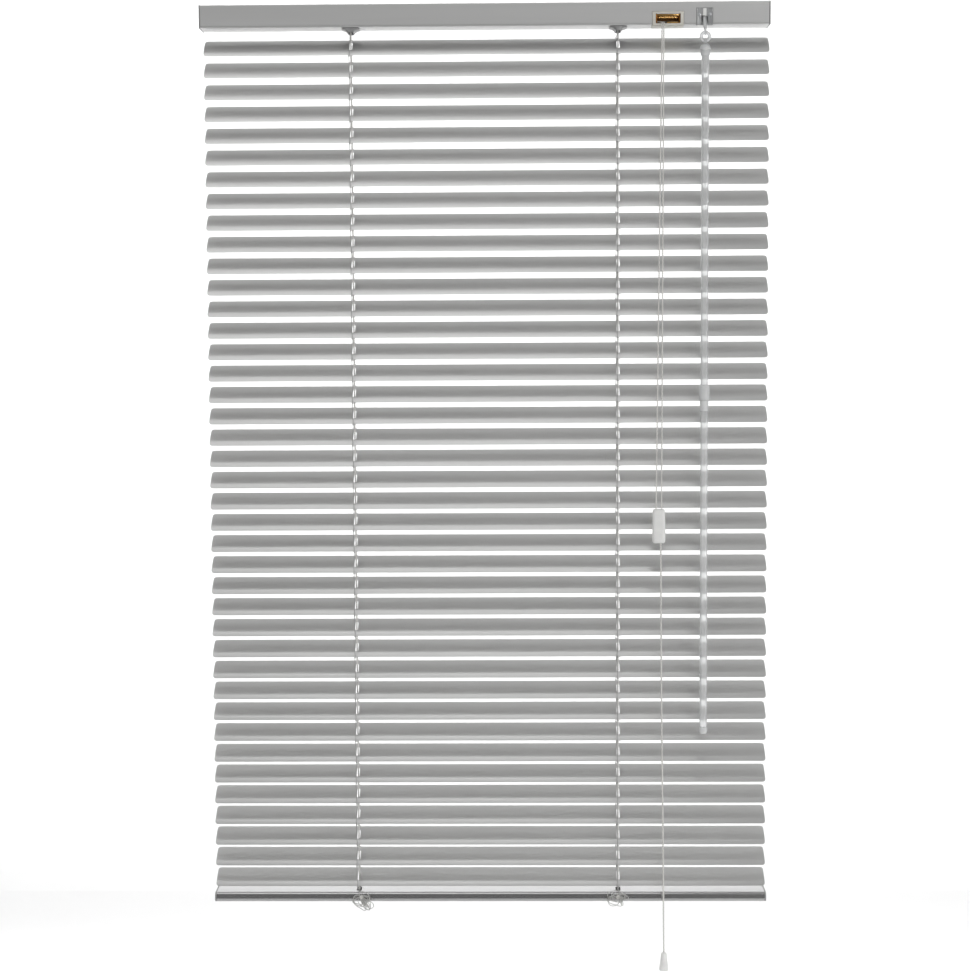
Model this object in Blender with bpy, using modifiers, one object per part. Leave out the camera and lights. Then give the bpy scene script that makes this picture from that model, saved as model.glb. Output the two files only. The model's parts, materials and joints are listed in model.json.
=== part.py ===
"""Venetian blind with 25 mm aluminium slats, a wand tilter and a cord lock.

Frame: metres, +Z up, X along the blind, the room on the -Y side. The origin is the
centre of the headrail's back face, which lies against the wall or its brackets.
"""

import math

import bmesh
import bpy
from mathutils import Matrix, Vector

GAP = 0.0003  # clearance between neighbouring pieces

# Slats
SLAT_COUNT = 40
SLAT_LENGTH = 0.560
SLAT_WIDTH = 0.025
SLAT_THICKNESS = 0.00021
SLAT_CROWN = 0.0019
SLAT_CORNER = 0.003
SLAT_PITCH = 0.0215
SLAT_SHIFT = 0.0015
FIRST_SLAT_DROP = 0.0175
TOP_TILT = math.radians(43.5)
BOTTOM_TILT = math.radians(32.5)
ROUTE_HOLE_LENGTH = 0.012
ROUTE_HOLE_WIDTH = 0.003

# Headrail
RAIL_LENGTH = SLAT_LENGTH + 0.0035
RAIL_DEPTH = 0.025
RAIL_HEIGHT = 0.0225
RAIL_WALL = 0.0006
RAIL_LIP = 0.0032
RAIL_BEND = 0.0012
END_CAP = 0.0012

# Bottom rail
BOTTOM_LENGTH = SLAT_LENGTH + 0.002
BOTTOM_DEPTH = 0.025
BOTTOM_HEIGHT = 0.010
BOTTOM_WALL = 0.0007
BOTTOM_BEND = 0.0038
BOTTOM_SLOT = 0.010
BOTTOM_CAP = 0.0016
BOTTOM_DROP = 0.0183
BOTTOM_TILT_ANGLE = math.radians(3.0)
CORD_SLOT_LENGTH = 0.010
CORD_SLOT_WIDTH = 0.005

# Ladders and cords
LADDER_INSET = 0.1475
LADDER_SPACING = SLAT_LENGTH - 2 * LADDER_INSET
STRING_RADIUS = 0.00045
RUNG_RADIUS = 0.0004
STRING_CLEARANCE = 0.0012
RUNG_BOW = 0.0018
CORD_RADIUS = 0.0007
TAIL_RADIUS = 0.0008

# Tilt mechanism
ROD_ACROSS_FLATS = 0.004
ROD_RISE = 0.0125
ROD_OVERHANG = 0.012
DRUM_RADIUS = 0.0067
DRUM_WIDTH = 0.008
CRADLE_PLATE = 0.0015
CRADLE_WIDTH = 0.020
CRADLE_BASE = 0.0012
STRING_HOLE_LENGTH = 0.0186
STRING_HOLE_WIDTH = 0.0065
COLLAR_WALL = 0.0009
GROMMET_WIDTH = 0.022
GROMMET_FOOT_WIDTH = 0.0095
GROMMET_HEIGHT = 0.0038
GROMMET_INSET = 0.001
CRADLE_HEADROOM = 0.003

TILTER_X = RAIL_LENGTH / 2 - 0.06475
TILTER_WIDTH = 0.0158
TILTER_WALL = 0.0016
TILTER_HEADROOM = 0.001
TILTER_FLOOR = 0.004
NOSE_RISE = 0.0160
NOSE_DEPTH = 0.006
NOSE_PROUD = 0.0009
WHEEL_RADIUS = 0.0046
WHEEL_TEETH = 10
WHEEL_WIDTH = 0.005
WORM_RADIUS = 0.0026
WORM_LEAN = math.radians(28.0)
WORM_LENGTH = 0.011
STEM_RADIUS = 0.0019
EYE_DROP = 0.0085
EYE_RADIUS = 0.0032
EYE_WIRE = 0.0008

# Wand
LINK_RADIUS = 0.0044
LINK_WIRE = 0.0008
WAND_EYE_RADIUS = 0.0026
WAND_EYE_WIRE = 0.0009
WAND_HEAD_RADIUS = 0.0054
WAND_HEAD_LENGTH = 0.0105
WAND_RADIUS = 0.0038
WAND_LENGTH = 0.684
SLEEVE_RADIUS = 0.0053
SLEEVE_DROP = 0.3366
SLEEVE_LENGTH = 0.015
COLLAR_RADIUS = 0.0044
COLLAR_LENGTH = 0.011
WAND_TIP_RADIUS = 0.0042
WAND_TIP_LENGTH = 0.007

# Cord lock
LOCK_X = RAIL_LENGTH / 2 - 0.10065
LOCK_WIDTH = 0.0309
LOCK_DEPTH = 0.0195
LOCK_RISE = 0.0164
LOCK_WALL = 0.0018
LOCK_FLOOR = 0.0012
LOCK_PROUD = 0.0009
FRAME_RISE = 0.0128
FRAME_DEPTH = 0.003
LOCK_WINDOW_WIDTH = 0.0245
LOCK_WINDOW_RISE = 0.0114
CORD_DOOR_NEAR = 0.0075
CORD_DOOR_FAR = 0.0025
CORD_DOOR_HEIGHT = 0.0043
ROLLER_RADIUS = 0.0029
ROLLER_LENGTH = 0.020
ROLLER_INSET = 0.0077
ROLLER_RISE = 0.0088
ROLLER_TRAVEL = 0.003
ROLLER_LEAN = math.radians(30.0)
TRUNNION_RADIUS = 0.0010
TRUNNION_LENGTH = 0.0028

# Cord connector and tassel
CONNECTOR_X = LOCK_X - 0.0088
CONNECTOR_Y = -RAIL_DEPTH - 0.0055
CONNECTOR_DROP = 0.4602
CONNECTOR_LENGTH = 0.0342
CONNECTOR_WIDTH = 0.013
CONNECTOR_DEPTH = 0.009
CONNECTOR_EDGE = 0.0025
EXIT_SHIFT = -0.0052
DROP_SPREAD = 0.0027
EXIT_SPREAD = 0.0009
RUN_CLEARANCE = 0.0006  # between a lift cord and the cradle bases it crosses
RUN_PASS = 0.0045  # how far the left cord runs in front of the right cord
TAIL_SHIFT = 0.002
TASSEL_X = LOCK_X - 0.003
TASSEL_DROP = 0.9125
TASSEL_LENGTH = 0.0184
TASSEL_NECK = 0.003
TASSEL_MOUTH = 0.005

# Places worked out from the sizes above
MIDDLE_Y = -RAIL_DEPTH / 2
RAIL_FLOOR = -RAIL_HEIGHT / 2
FLOOR_TOP = RAIL_FLOOR + RAIL_WALL
FIRST_SLAT_Z = RAIL_FLOOR - FIRST_SLAT_DROP
LAST_SLAT_Z = FIRST_SLAT_Z - (SLAT_COUNT - 1) * SLAT_PITCH
BOTTOM_Z = LAST_SLAT_Z - BOTTOM_DROP
LADDER_X = {"left": -LADDER_SPACING / 2, "right": LADDER_SPACING / 2}
STRING_OFFSET = SLAT_WIDTH / 2 + STRING_CLEARANCE
EDGE_DROP = SLAT_CROWN / 2
RUNG_DROP = EDGE_DROP + SLAT_THICKNESS / 2 + RUNG_RADIUS + GAP
ROD_RADIUS = ROD_ACROSS_FLATS / math.sqrt(3)
ROD_HEIGHT = RAIL_FLOOR + ROD_RISE
WORM_AXIS = Vector((0, -math.sin(WORM_LEAN), -math.cos(WORM_LEAN)))
WORM_OFFSET = WHEEL_RADIUS + WORM_RADIUS + GAP
WORM_CENTRE = Vector((
    TILTER_X,
    MIDDLE_Y - WORM_OFFSET * math.cos(WORM_LEAN),
    ROD_HEIGHT + WORM_OFFSET * math.sin(WORM_LEAN),
))
EYE_RUN = (WORM_CENTRE.z - RAIL_FLOOR + EYE_DROP) / math.cos(WORM_LEAN)
LINK_TOP = WORM_CENTRE + WORM_AXIS * EYE_RUN
LINK_BOTTOM = LINK_TOP - Vector((0, 0, 2 * LINK_RADIUS))
NOSE_Y = -RAIL_DEPTH - NOSE_PROUD
NOSE_TOP = RAIL_FLOOR + NOSE_RISE
TILTER_TOP = RAIL_HEIGHT / 2 - TILTER_HEADROOM
LOCK_Y = -RAIL_DEPTH - LOCK_PROUD
LOCK_TOP = RAIL_FLOOR + LOCK_RISE
FRAME_TOP = RAIL_FLOOR + FRAME_RISE
LOCK_FLOOR_TOP = RAIL_FLOOR + LOCK_FLOOR
LOCK_WINDOW_TOP = RAIL_FLOOR + LOCK_WINDOW_RISE
ROLLER_Y = LOCK_Y + ROLLER_INSET
ROLLER_Z = RAIL_FLOOR + ROLLER_RISE
CONNECTOR_TOP = FIRST_SLAT_Z - CONNECTOR_DROP
TASSEL_TOP = FIRST_SLAT_Z - TASSEL_DROP
OVERCUT = 0.002  # how far a cutter runs past the face it cuts

# Colours and finishes: colour, roughness, metallic
FINISHES = {
    "slat": ((0.52, 0.52, 0.52), 0.42, 0.35),
    "headrail": ((0.47, 0.47, 0.47), 0.45, 0.30),
    "steel": ((0.55, 0.56, 0.58), 0.35, 0.90),
    "grey_plastic": ((0.42, 0.42, 0.42), 0.50, 0.0),
    "clear_plastic": ((0.86, 0.88, 0.89), 0.12, 0.0),
    "cream_plastic": ((0.82, 0.80, 0.74), 0.45, 0.0),
    "brass": ((0.66, 0.40, 0.14), 0.30, 1.0),
    "white_plastic": ((0.85, 0.85, 0.84), 0.40, 0.0),
    "cord": ((0.72, 0.71, 0.69), 0.85, 0.0),
    "ladder": ((0.55, 0.55, 0.54), 0.85, 0.0),
}


def start_scene():
    """Empty the scene and add the collections for the parts and their cutters."""
    for obj in list(bpy.data.objects):
        bpy.data.objects.remove(obj, do_unlink=True)
    found = {}
    for name in ("venetian_blind", "cutters"):
        found[name] = bpy.data.collections.new(name)
        bpy.context.scene.collection.children.link(found[name])
    return found["venetian_blind"], found["cutters"]


PARTS, CUTTERS = start_scene()


def finish(name):
    """The material of that name, made once."""
    if name in bpy.data.materials:
        return bpy.data.materials[name]
    colour, roughness, metallic = FINISHES[name]
    material = bpy.data.materials.new(name)
    material.use_nodes = True
    shader = material.node_tree.nodes["Principled BSDF"]
    shader.inputs["Base Color"].default_value = (*colour, 1)
    shader.inputs["Roughness"].default_value = roughness
    shader.inputs["Metallic"].default_value = metallic
    return material


def add_object(name, mesh, material=None, collection=None):
    obj = bpy.data.objects.new(name, mesh)
    (collection or PARTS).objects.link(obj)
    if material and not mesh.materials:
        mesh.materials.append(finish(material))
    return obj


def mesh_of(build, name="shape"):
    """A mesh made by a function that fills a bmesh."""
    bm = bmesh.new()
    build(bm)
    bmesh.ops.recalc_face_normals(bm, faces=bm.faces)
    mesh = bpy.data.meshes.new(name)
    bm.to_mesh(mesh)
    bm.free()
    return mesh


def box_mesh(low, high):
    """A box between two corners."""
    low, high = Vector(low), Vector(high)
    place = Matrix.Translation((low + high) / 2) @ Matrix.Diagonal((*(high - low), 1))
    return mesh_of(lambda bm: bmesh.ops.create_cube(bm, size=1, matrix=place))


def cylinder_mesh(start, end, radius, end_radius=None, sides=16, turn=0.0):
    """A cylinder or cone frustum between two points."""
    start, end = Vector(start), Vector(end)
    axis = end - start
    place = (
        Matrix.Translation((start + end) / 2)
        @ axis.to_track_quat("Z", "Y").to_matrix().to_4x4()
        @ Matrix.Rotation(turn, 4, "Z")
    )
    top = radius if end_radius is None else end_radius
    return mesh_of(lambda bm: bmesh.ops.create_cone(
        bm, cap_ends=True, segments=sides, radius1=radius, radius2=top,
        depth=axis.length, matrix=place,
    ))


def ring_mesh(centre, normal, ring_radius, wire_radius, sides=20, wire_sides=8):
    """A torus whose hole faces along the normal."""
    bpy.ops.mesh.primitive_torus_add(
        major_segments=sides, minor_segments=wire_sides,
        major_radius=ring_radius, minor_radius=wire_radius,
    )
    made = bpy.context.object
    mesh = made.data
    bpy.data.objects.remove(made)
    turn = Vector(normal).to_track_quat("Z", "Y").to_matrix().to_4x4()
    mesh.transform(Matrix.Translation(centre) @ turn)
    return mesh


def outline_mesh(points, thickness, place):
    """A flat outline in X and Y, thickened evenly about its plane, then placed."""
    curve = bpy.data.curves.new("outline", "CURVE")
    curve.dimensions = "2D"
    curve.fill_mode = "BOTH"
    curve.extrude = thickness / 2
    spline = curve.splines.new("POLY")
    spline.points.add(len(points) - 1)
    for point, (x, y) in zip(spline.points, points):
        point.co = (x, y, 0, 1)
    spline.use_cyclic_u = True
    mesh = mesh_from_curve(curve)
    mesh.transform(place)
    return mesh


def mesh_from_curve(curve):
    """The welded mesh of a curve, which is removed."""
    obj = bpy.data.objects.new("route", curve)
    bpy.context.scene.collection.objects.link(obj)
    bpy.context.view_layer.update()
    mesh = bpy.data.meshes.new_from_object(obj.evaluated_get(bpy.context.evaluated_depsgraph_get()))
    bpy.data.objects.remove(obj)
    bpy.data.curves.remove(curve)
    bm = bmesh.new()
    bm.from_mesh(mesh)
    bmesh.ops.remove_doubles(bm, verts=bm.verts, dist=0.00001)
    bmesh.ops.recalc_face_normals(bm, faces=bm.faces)
    bm.to_mesh(mesh)
    bm.free()
    return mesh


def tube_mesh(routes, radius, resolution):
    """Round tubes along lists of points, as separate bodies of one mesh."""
    curve = bpy.data.curves.new("tube", "CURVE")
    curve.dimensions = "3D"
    curve.bevel_depth = radius
    curve.bevel_resolution = resolution
    curve.use_fill_caps = True
    for route in routes:
        spline = curve.splines.new("POLY")
        spline.points.add(len(route) - 1)
        for point, place in zip(spline.points, route):
            point.co = (*place, 1)
    return mesh_from_curve(curve)


def smooth_route(knots, step):
    """Points about a step apart on a smooth curve through the knots."""
    knots = [Vector(k) for k in knots]
    padded = [2 * knots[0] - knots[1], *knots, 2 * knots[-1] - knots[-2]]
    headings = [(after - before).normalized() for before, after in zip(padded, padded[2:])]
    points = [knots[0]]
    for start, end, leave, arrive in zip(knots, knots[1:], headings, headings[1:]):
        span = (end - start).length
        pieces = max(1, round(span / step))
        for number in range(1, pieces + 1):
            t = number / pieces
            points.append(
                (2 * t ** 3 - 3 * t ** 2 + 1) * start
                + (t ** 3 - 2 * t ** 2 + t) * span * leave
                + (3 * t ** 2 - 2 * t ** 3) * end
                + (t ** 3 - t ** 2) * span * arrive
            )
    return points


def combine(obj, mesh, operation):
    """Join a mesh to an object, or cut it out, with an exact Boolean."""
    cutter = add_object(f"{obj.name}_{operation.lower()}", mesh, collection=CUTTERS)
    cutter.hide_render = True
    cutter.display_type = "WIRE"
    modifier = obj.modifiers.new(operation.lower(), "BOOLEAN")
    modifier.operation = operation
    modifier.solver = "EXACT"
    modifier.object = cutter


def join(obj, *meshes):
    for mesh in meshes:
        combine(obj, mesh, "UNION")


def cut(obj, *meshes):
    for mesh in meshes:
        combine(obj, mesh, "DIFFERENCE")


def strip_mesh(profile, length, wall, centre_x=0.0):
    """An open profile in Y and Z, run along X and thickened to its right side."""
    bm = bmesh.new()
    ends = []
    for x in (centre_x - length / 2, centre_x + length / 2):
        verts = [bm.verts.new((x, y, z)) for y, z in profile]
        ends.append([bm.edges.new(pair) for pair in zip(verts, verts[1:])])
    bmesh.ops.bridge_loops(bm, edges=ends[0] + ends[1])
    bmesh.ops.recalc_face_normals(bm, faces=bm.faces)
    mesh = bpy.data.meshes.new("strip")
    bm.to_mesh(mesh)
    bm.free()
    obj = bpy.data.objects.new("strip", mesh)
    bpy.context.scene.collection.objects.link(obj)
    solid = obj.modifiers.new("wall", "SOLIDIFY")
    solid.thickness = wall
    solid.offset = 0
    solid.use_even_offset = True
    bpy.context.view_layer.update()
    thick = bpy.data.meshes.new_from_object(obj.evaluated_get(bpy.context.evaluated_depsgraph_get()))
    bpy.data.objects.remove(obj)
    return thick


def arc(centre, radius, start, end, pieces):
    """Points on an arc, angles in degrees."""
    points = []
    for number in range(pieces + 1):
        angle = math.radians(start + (end - start) * number / pieces)
        points.append((centre[0] + radius * math.cos(angle), centre[1] + radius * math.sin(angle)))
    return points


def rounded_outline(length, width, radius, pieces=3):
    """A rectangle with round corners, centred on the origin."""
    x, y = length / 2 - radius, width / 2 - radius
    points = []
    for number, (side_x, side_y) in enumerate(((1, 1), (-1, 1), (-1, -1), (1, -1))):
        points += arc((side_x * x, side_y * y), radius, 90 * number, 90 * number + 90, pieces)
    return points


def slat_tilt(number):
    """The rest tilt of a slat, front edge down: the lower slats lie a little flatter."""
    share = (number - 1) / (SLAT_COUNT - 1)
    return TOP_TILT + (BOTTOM_TILT - TOP_TILT) * share


def slat_height(number):
    return FIRST_SLAT_Z - (number - 1) * SLAT_PITCH


def across_slat(number, y, z):
    """World Y and Z of a point given across a slat's section, from its axis."""
    tilt = slat_tilt(number)
    return (
        MIDDLE_Y + y * math.cos(tilt) - z * math.sin(tilt),
        slat_height(number) + y * math.sin(tilt) + z * math.cos(tilt),
    )


def slat_mesh():
    """One crowned slat, level, with its axis on X: round corners and two route holes."""
    half = SLAT_WIDTH / 2
    bend = (half ** 2 + SLAT_CROWN ** 2) / (2 * SLAT_CROWN)
    sweep = math.degrees(math.asin(half / bend))
    profile = arc((0, EDGE_DROP - bend), bend, 90 + sweep, 90 - sweep, 4)
    mesh = strip_mesh(profile, SLAT_LENGTH, SLAT_THICKNESS)
    obj = add_object("slat_blank", mesh, "slat")
    plate = outline_mesh(
        rounded_outline(SLAT_LENGTH - GAP, SLAT_WIDTH + SLAT_THICKNESS, SLAT_CORNER, 2),
        4 * SLAT_CROWN, Matrix.Identity(4),
    )
    combine(obj, plate, "INTERSECT")
    for x in LADDER_X.values():
        hole = rounded_outline(ROUTE_HOLE_WIDTH, ROUTE_HOLE_LENGTH, 0.3 * ROUTE_HOLE_WIDTH, 1)
        place = Matrix.Translation((x - SLAT_SHIFT, 0, 0))
        cut(obj, outline_mesh(hole, 4 * SLAT_CROWN, place))
    bpy.context.view_layer.update()
    shape = bpy.data.meshes.new_from_object(obj.evaluated_get(bpy.context.evaluated_depsgraph_get()))
    bpy.data.objects.remove(obj)
    return shape


def make_slats():
    shape = slat_mesh()
    for number in range(1, SLAT_COUNT + 1):
        slat = add_object(f"slat_{number:02d}", shape)
        slat.location = (SLAT_SHIFT, MIDDLE_Y, slat_height(number))
        slat.rotation_euler.x = slat_tilt(number)


def make_headrail():
    """A steel channel, open at the top, with lips turned in and its two end caps."""
    front = -RAIL_DEPTH + RAIL_WALL / 2
    back = -RAIL_WALL / 2
    top = RAIL_HEIGHT / 2 - RAIL_WALL / 2
    low = RAIL_FLOOR + RAIL_WALL / 2
    profile = [(front + RAIL_LIP, top), (front, top)]
    profile += arc((front + RAIL_BEND, low + RAIL_BEND), RAIL_BEND, 180, 270, 3)
    profile += arc((back - RAIL_BEND, low + RAIL_BEND), RAIL_BEND, 270, 360, 3)
    profile += [(back, top), (back - RAIL_LIP, top)]
    mesh = strip_mesh(profile, RAIL_LENGTH - END_CAP, RAIL_WALL)
    rail = add_object("headrail", mesh, "headrail")
    for side in (-1, 1):
        outer = side * RAIL_LENGTH / 2
        inner = side * (RAIL_LENGTH / 2 - END_CAP)
        join(rail, box_mesh(
            (min(outer, inner), -RAIL_DEPTH, RAIL_FLOOR),
            (max(outer, inner), 0, RAIL_HEIGHT / 2),
        ))
    for x in LADDER_X.values():
        half_x = STRING_HOLE_WIDTH / 2 + COLLAR_WALL + GAP
        half_y = STRING_HOLE_LENGTH / 2 + COLLAR_WALL + GAP
        cut(rail, box_mesh(
            (x - half_x, MIDDLE_Y - half_y, RAIL_FLOOR - OVERCUT),
            (x + half_x, MIDDLE_Y + half_y, FLOOR_TOP + OVERCUT),
        ))
    low_front = (-RAIL_DEPTH - OVERCUT, RAIL_FLOOR - OVERCUT)
    for centre, width, back, top in (
        (LOCK_X, LOCK_WIDTH, LOCK_Y + LOCK_DEPTH, FRAME_TOP),
        (TILTER_X, TILTER_WIDTH, -RAIL_DEPTH + NOSE_DEPTH, NOSE_TOP),
    ):
        left, right = centre - width / 2 - GAP, centre + width / 2 + GAP
        cut(rail, box_mesh((left, *low_front), (right, back + GAP, FLOOR_TOP + GAP)))
        cut(rail, box_mesh((left, *low_front), (right, -RAIL_DEPTH + OVERCUT, top + GAP)))


def make_tilt_rod():
    """The hexagonal rod, with the worm wheel fixed on it inside the tilter."""
    start = LADDER_X["left"] - ROD_OVERHANG
    end = TILTER_X + TILTER_WIDTH / 2 + ROD_OVERHANG / 2
    mesh = cylinder_mesh(
        (start, MIDDLE_Y, ROD_HEIGHT), (end, MIDDLE_Y, ROD_HEIGHT), ROD_RADIUS, sides=6,
    )
    rod = add_object("tilt_rod", mesh, "steel")
    teeth = []
    for number in range(2 * WHEEL_TEETH):
        for share in (-0.2, 0.2):
            radius = WHEEL_RADIUS if number % 2 else 0.78 * WHEEL_RADIUS
            angle = math.pi * (number + share) / WHEEL_TEETH
            teeth.append((radius * math.cos(angle), radius * math.sin(angle)))
    place = Matrix.Translation((TILTER_X, MIDDLE_Y, ROD_HEIGHT)) @ Matrix.Rotation(math.pi / 2, 4, "Y")
    join(rod, outline_mesh(teeth, WHEEL_WIDTH, place))


def make_ladder_drum(side):
    """A drum on the rod that winds the ladder's two strings."""
    x = LADDER_X[side]
    half = DRUM_WIDTH / 2
    centre = Vector((x, MIDDLE_Y, ROD_HEIGHT))
    reach = Vector((half, 0, 0))
    drum = add_object(
        f"ladder_drum_{side}", cylinder_mesh(centre - reach, centre + reach, DRUM_RADIUS, sides=24),
        "grey_plastic",
    )
    groove = ring_mesh(centre, (1, 0, 0), DRUM_RADIUS + STRING_RADIUS, STRING_RADIUS + GAP, 24, 6)
    bore = cylinder_mesh(centre - 2 * reach, centre + 2 * reach, ROD_RADIUS + GAP, sides=6)
    cut(drum, groove, bore)


def frustum_mesh(centre, size, foot_size, top, bottom):
    """A block that tapers downwards, given by its sizes in X and Y at top and bottom."""
    mesh = box_mesh((-0.5, -0.5, bottom), (0.5, 0.5, top))
    for vertex in mesh.vertices:
        width, depth = size if vertex.co.z > (top + bottom) / 2 else foot_size
        vertex.co.x = centre[0] + vertex.co.x * width
        vertex.co.y = centre[1] + vertex.co.y * depth
    return mesh


def make_drum_cradle(side):
    """The saddle that carries the drum, with the string guide that pokes through the floor."""
    x = LADDER_X[side]
    base_low = FLOOR_TOP + GAP
    base_high = base_low + CRADLE_BASE
    half_depth = RAIL_DEPTH / 2 - RAIL_WALL - 2 * GAP
    base = box_mesh(
        (x - CRADLE_WIDTH / 2, MIDDLE_Y - half_depth, base_low),
        (x + CRADLE_WIDTH / 2, MIDDLE_Y + half_depth, base_high),
    )
    cradle = add_object(f"drum_cradle_{side}", base, "grey_plastic")
    plate_inside = DRUM_WIDTH / 2 + 2 * GAP
    plate_top = ROD_HEIGHT + ROD_RADIUS + CRADLE_HEADROOM
    arch_top = ROD_HEIGHT - ROD_RADIUS - GAP - CRADLE_PLATE
    for end in (-1, 1):
        near = x + end * plate_inside
        far = near + end * CRADLE_PLATE
        join(cradle, box_mesh(
            (min(near, far), MIDDLE_Y - half_depth, base_high - GAP),
            (max(near, far), MIDDLE_Y + half_depth, plate_top),
        ))
    half_x = STRING_HOLE_WIDTH / 2 + COLLAR_WALL
    half_y = STRING_HOLE_LENGTH / 2 + COLLAR_WALL
    join(cradle, box_mesh(
        (x - half_x, MIDDLE_Y - half_y, RAIL_FLOOR - 2 * GAP),
        (x + half_x, MIDDLE_Y + half_y, base_low + GAP),
    ))
    join(cradle, frustum_mesh(
        (x, MIDDLE_Y), (GROMMET_WIDTH, RAIL_DEPTH - 2 * GROMMET_INSET),
        (GROMMET_FOOT_WIDTH, STRING_HOLE_LENGTH + 2 * COLLAR_WALL),
        RAIL_FLOOR - GAP, RAIL_FLOOR - GAP - GROMMET_HEIGHT,
    ))
    cut(cradle, box_mesh(
        (x - STRING_HOLE_WIDTH / 2, MIDDLE_Y - STRING_HOLE_LENGTH / 2, RAIL_FLOOR - GROMMET_HEIGHT - OVERCUT),
        (x + STRING_HOLE_WIDTH / 2, MIDDLE_Y + STRING_HOLE_LENGTH / 2, base_high + GAP / 2),
    ))
    cut(cradle, box_mesh(
        (x - CRADLE_WIDTH, MIDDLE_Y - half_depth + CRADLE_PLATE, base_high),
        (x + CRADLE_WIDTH, MIDDLE_Y + half_depth - CRADLE_PLATE, arch_top),
    ))
    reach = Vector((CRADLE_WIDTH, 0, 0))
    centre = Vector((x, MIDDLE_Y, ROD_HEIGHT))
    cut(cradle, cylinder_mesh(centre - reach, centre + reach, ROD_RADIUS + GAP))


def make_tilter_housing():
    """The clear gearbox in the channel, whose nose shows at the front lower corner."""
    half = TILTER_WIDTH / 2
    inside = RAIL_WALL + 2 * GAP
    body = box_mesh(
        (TILTER_X - half, -RAIL_DEPTH + inside, FLOOR_TOP + GAP),
        (TILTER_X + half, -inside, TILTER_TOP),
    )
    housing = add_object("tilter_housing", body, "clear_plastic")
    join(housing, box_mesh(
        (TILTER_X - half, NOSE_Y, RAIL_FLOOR - 2 * GAP),
        (TILTER_X + half, -RAIL_DEPTH + NOSE_DEPTH, NOSE_TOP),
    ))
    cut(housing, box_mesh(
        (TILTER_X - half + TILTER_WALL, -RAIL_DEPTH + inside + TILTER_WALL, FLOOR_TOP + TILTER_FLOOR),
        (TILTER_X + half - TILTER_WALL, -inside - TILTER_WALL, TILTER_TOP + OVERCUT),
    ))
    cut(housing, cylinder_mesh(
        WORM_CENTRE - WORM_AXIS * WORM_LENGTH / 2, WORM_CENTRE + WORM_AXIS * EYE_RUN,
        WORM_RADIUS + 2 * GAP, sides=20,
    ))
    reach = Vector((TILTER_WIDTH, 0, 0))
    centre = Vector((TILTER_X, MIDDLE_Y, ROD_HEIGHT))
    cut(housing, cylinder_mesh(centre - reach, centre + reach, ROD_RADIUS + GAP))


def make_tilter_worm():
    """The worm and its slanting stem, which ends in the eye that the wand hangs from."""
    half = WORM_LENGTH / 2
    worm = add_object("tilter_worm", cylinder_mesh(
        WORM_CENTRE - WORM_AXIS * half, WORM_CENTRE + WORM_AXIS * half, WORM_RADIUS,
    ), "clear_plastic")
    eye_centre = LINK_TOP - WORM_AXIS * (EYE_RADIUS - EYE_WIRE - LINK_WIRE - 2 * GAP)
    stem_end = eye_centre - WORM_AXIS * (EYE_RADIUS - EYE_WIRE / 2)
    join(worm, cylinder_mesh(WORM_CENTRE, stem_end, STEM_RADIUS, sides=12))
    join(worm, ring_mesh(eye_centre, (1, 0, 0), EYE_RADIUS, EYE_WIRE))


def make_wand_hook():
    """The ring that links the tilter's eye to the wand's eye."""
    centre = (LINK_TOP + LINK_BOTTOM) / 2
    add_object("wand_hook", ring_mesh(centre, (0, 1, 0), LINK_RADIUS, LINK_WIRE, 24), "clear_plastic")


def make_wand():
    """The clear wand in two lengths with a sleeve between, an eye at the top and a tip."""
    eye_centre = LINK_BOTTOM - Vector((0, 0, WAND_EYE_RADIUS - WAND_EYE_WIRE - LINK_WIRE - GAP))
    head_top = eye_centre.z - WAND_EYE_RADIUS
    x, y = LINK_TOP.x, LINK_TOP.y
    bottom = head_top - WAND_LENGTH
    sleeve_top = FIRST_SLAT_Z - SLEEVE_DROP
    steps = (
        (head_top, head_top - WAND_HEAD_LENGTH, WAND_HEAD_RADIUS),
        (head_top - WAND_HEAD_LENGTH / 2, bottom + WAND_TIP_LENGTH / 2, WAND_RADIUS),
        (sleeve_top, sleeve_top - SLEEVE_LENGTH, SLEEVE_RADIUS),
        (sleeve_top - SLEEVE_LENGTH / 2, sleeve_top - SLEEVE_LENGTH - COLLAR_LENGTH, COLLAR_RADIUS),
        (bottom + WAND_TIP_LENGTH, bottom, WAND_TIP_RADIUS),
    )
    meshes = [cylinder_mesh((x, y, low), (x, y, high), radius) for high, low, radius in steps]
    wand = add_object("wand", meshes[0], "clear_plastic")
    join(wand, *meshes[1:])
    join(wand, ring_mesh(eye_centre, (1, 0, 0), WAND_EYE_RADIUS, WAND_EYE_WIRE))


def roller_slot(grow):
    """The slanting slot, through both cheeks, that the roller's trunnions ride in."""
    radius = TRUNNION_RADIUS + grow
    rise_y, rise_z = -math.sin(ROLLER_LEAN), math.cos(ROLLER_LEAN)
    outline = arc((ROLLER_TRAVEL, 0), radius, -90, 90, 6) + arc((0, 0), radius, 90, 270, 6)
    frame = Matrix((
        (0, 0, 1, LOCK_X),
        (rise_y, -rise_z, 0, ROLLER_Y),
        (rise_z, rise_y, 0, ROLLER_Z),
        (0, 0, 0, 1),
    ))
    return outline_mesh(outline, 2 * LOCK_WIDTH, frame)


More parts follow.
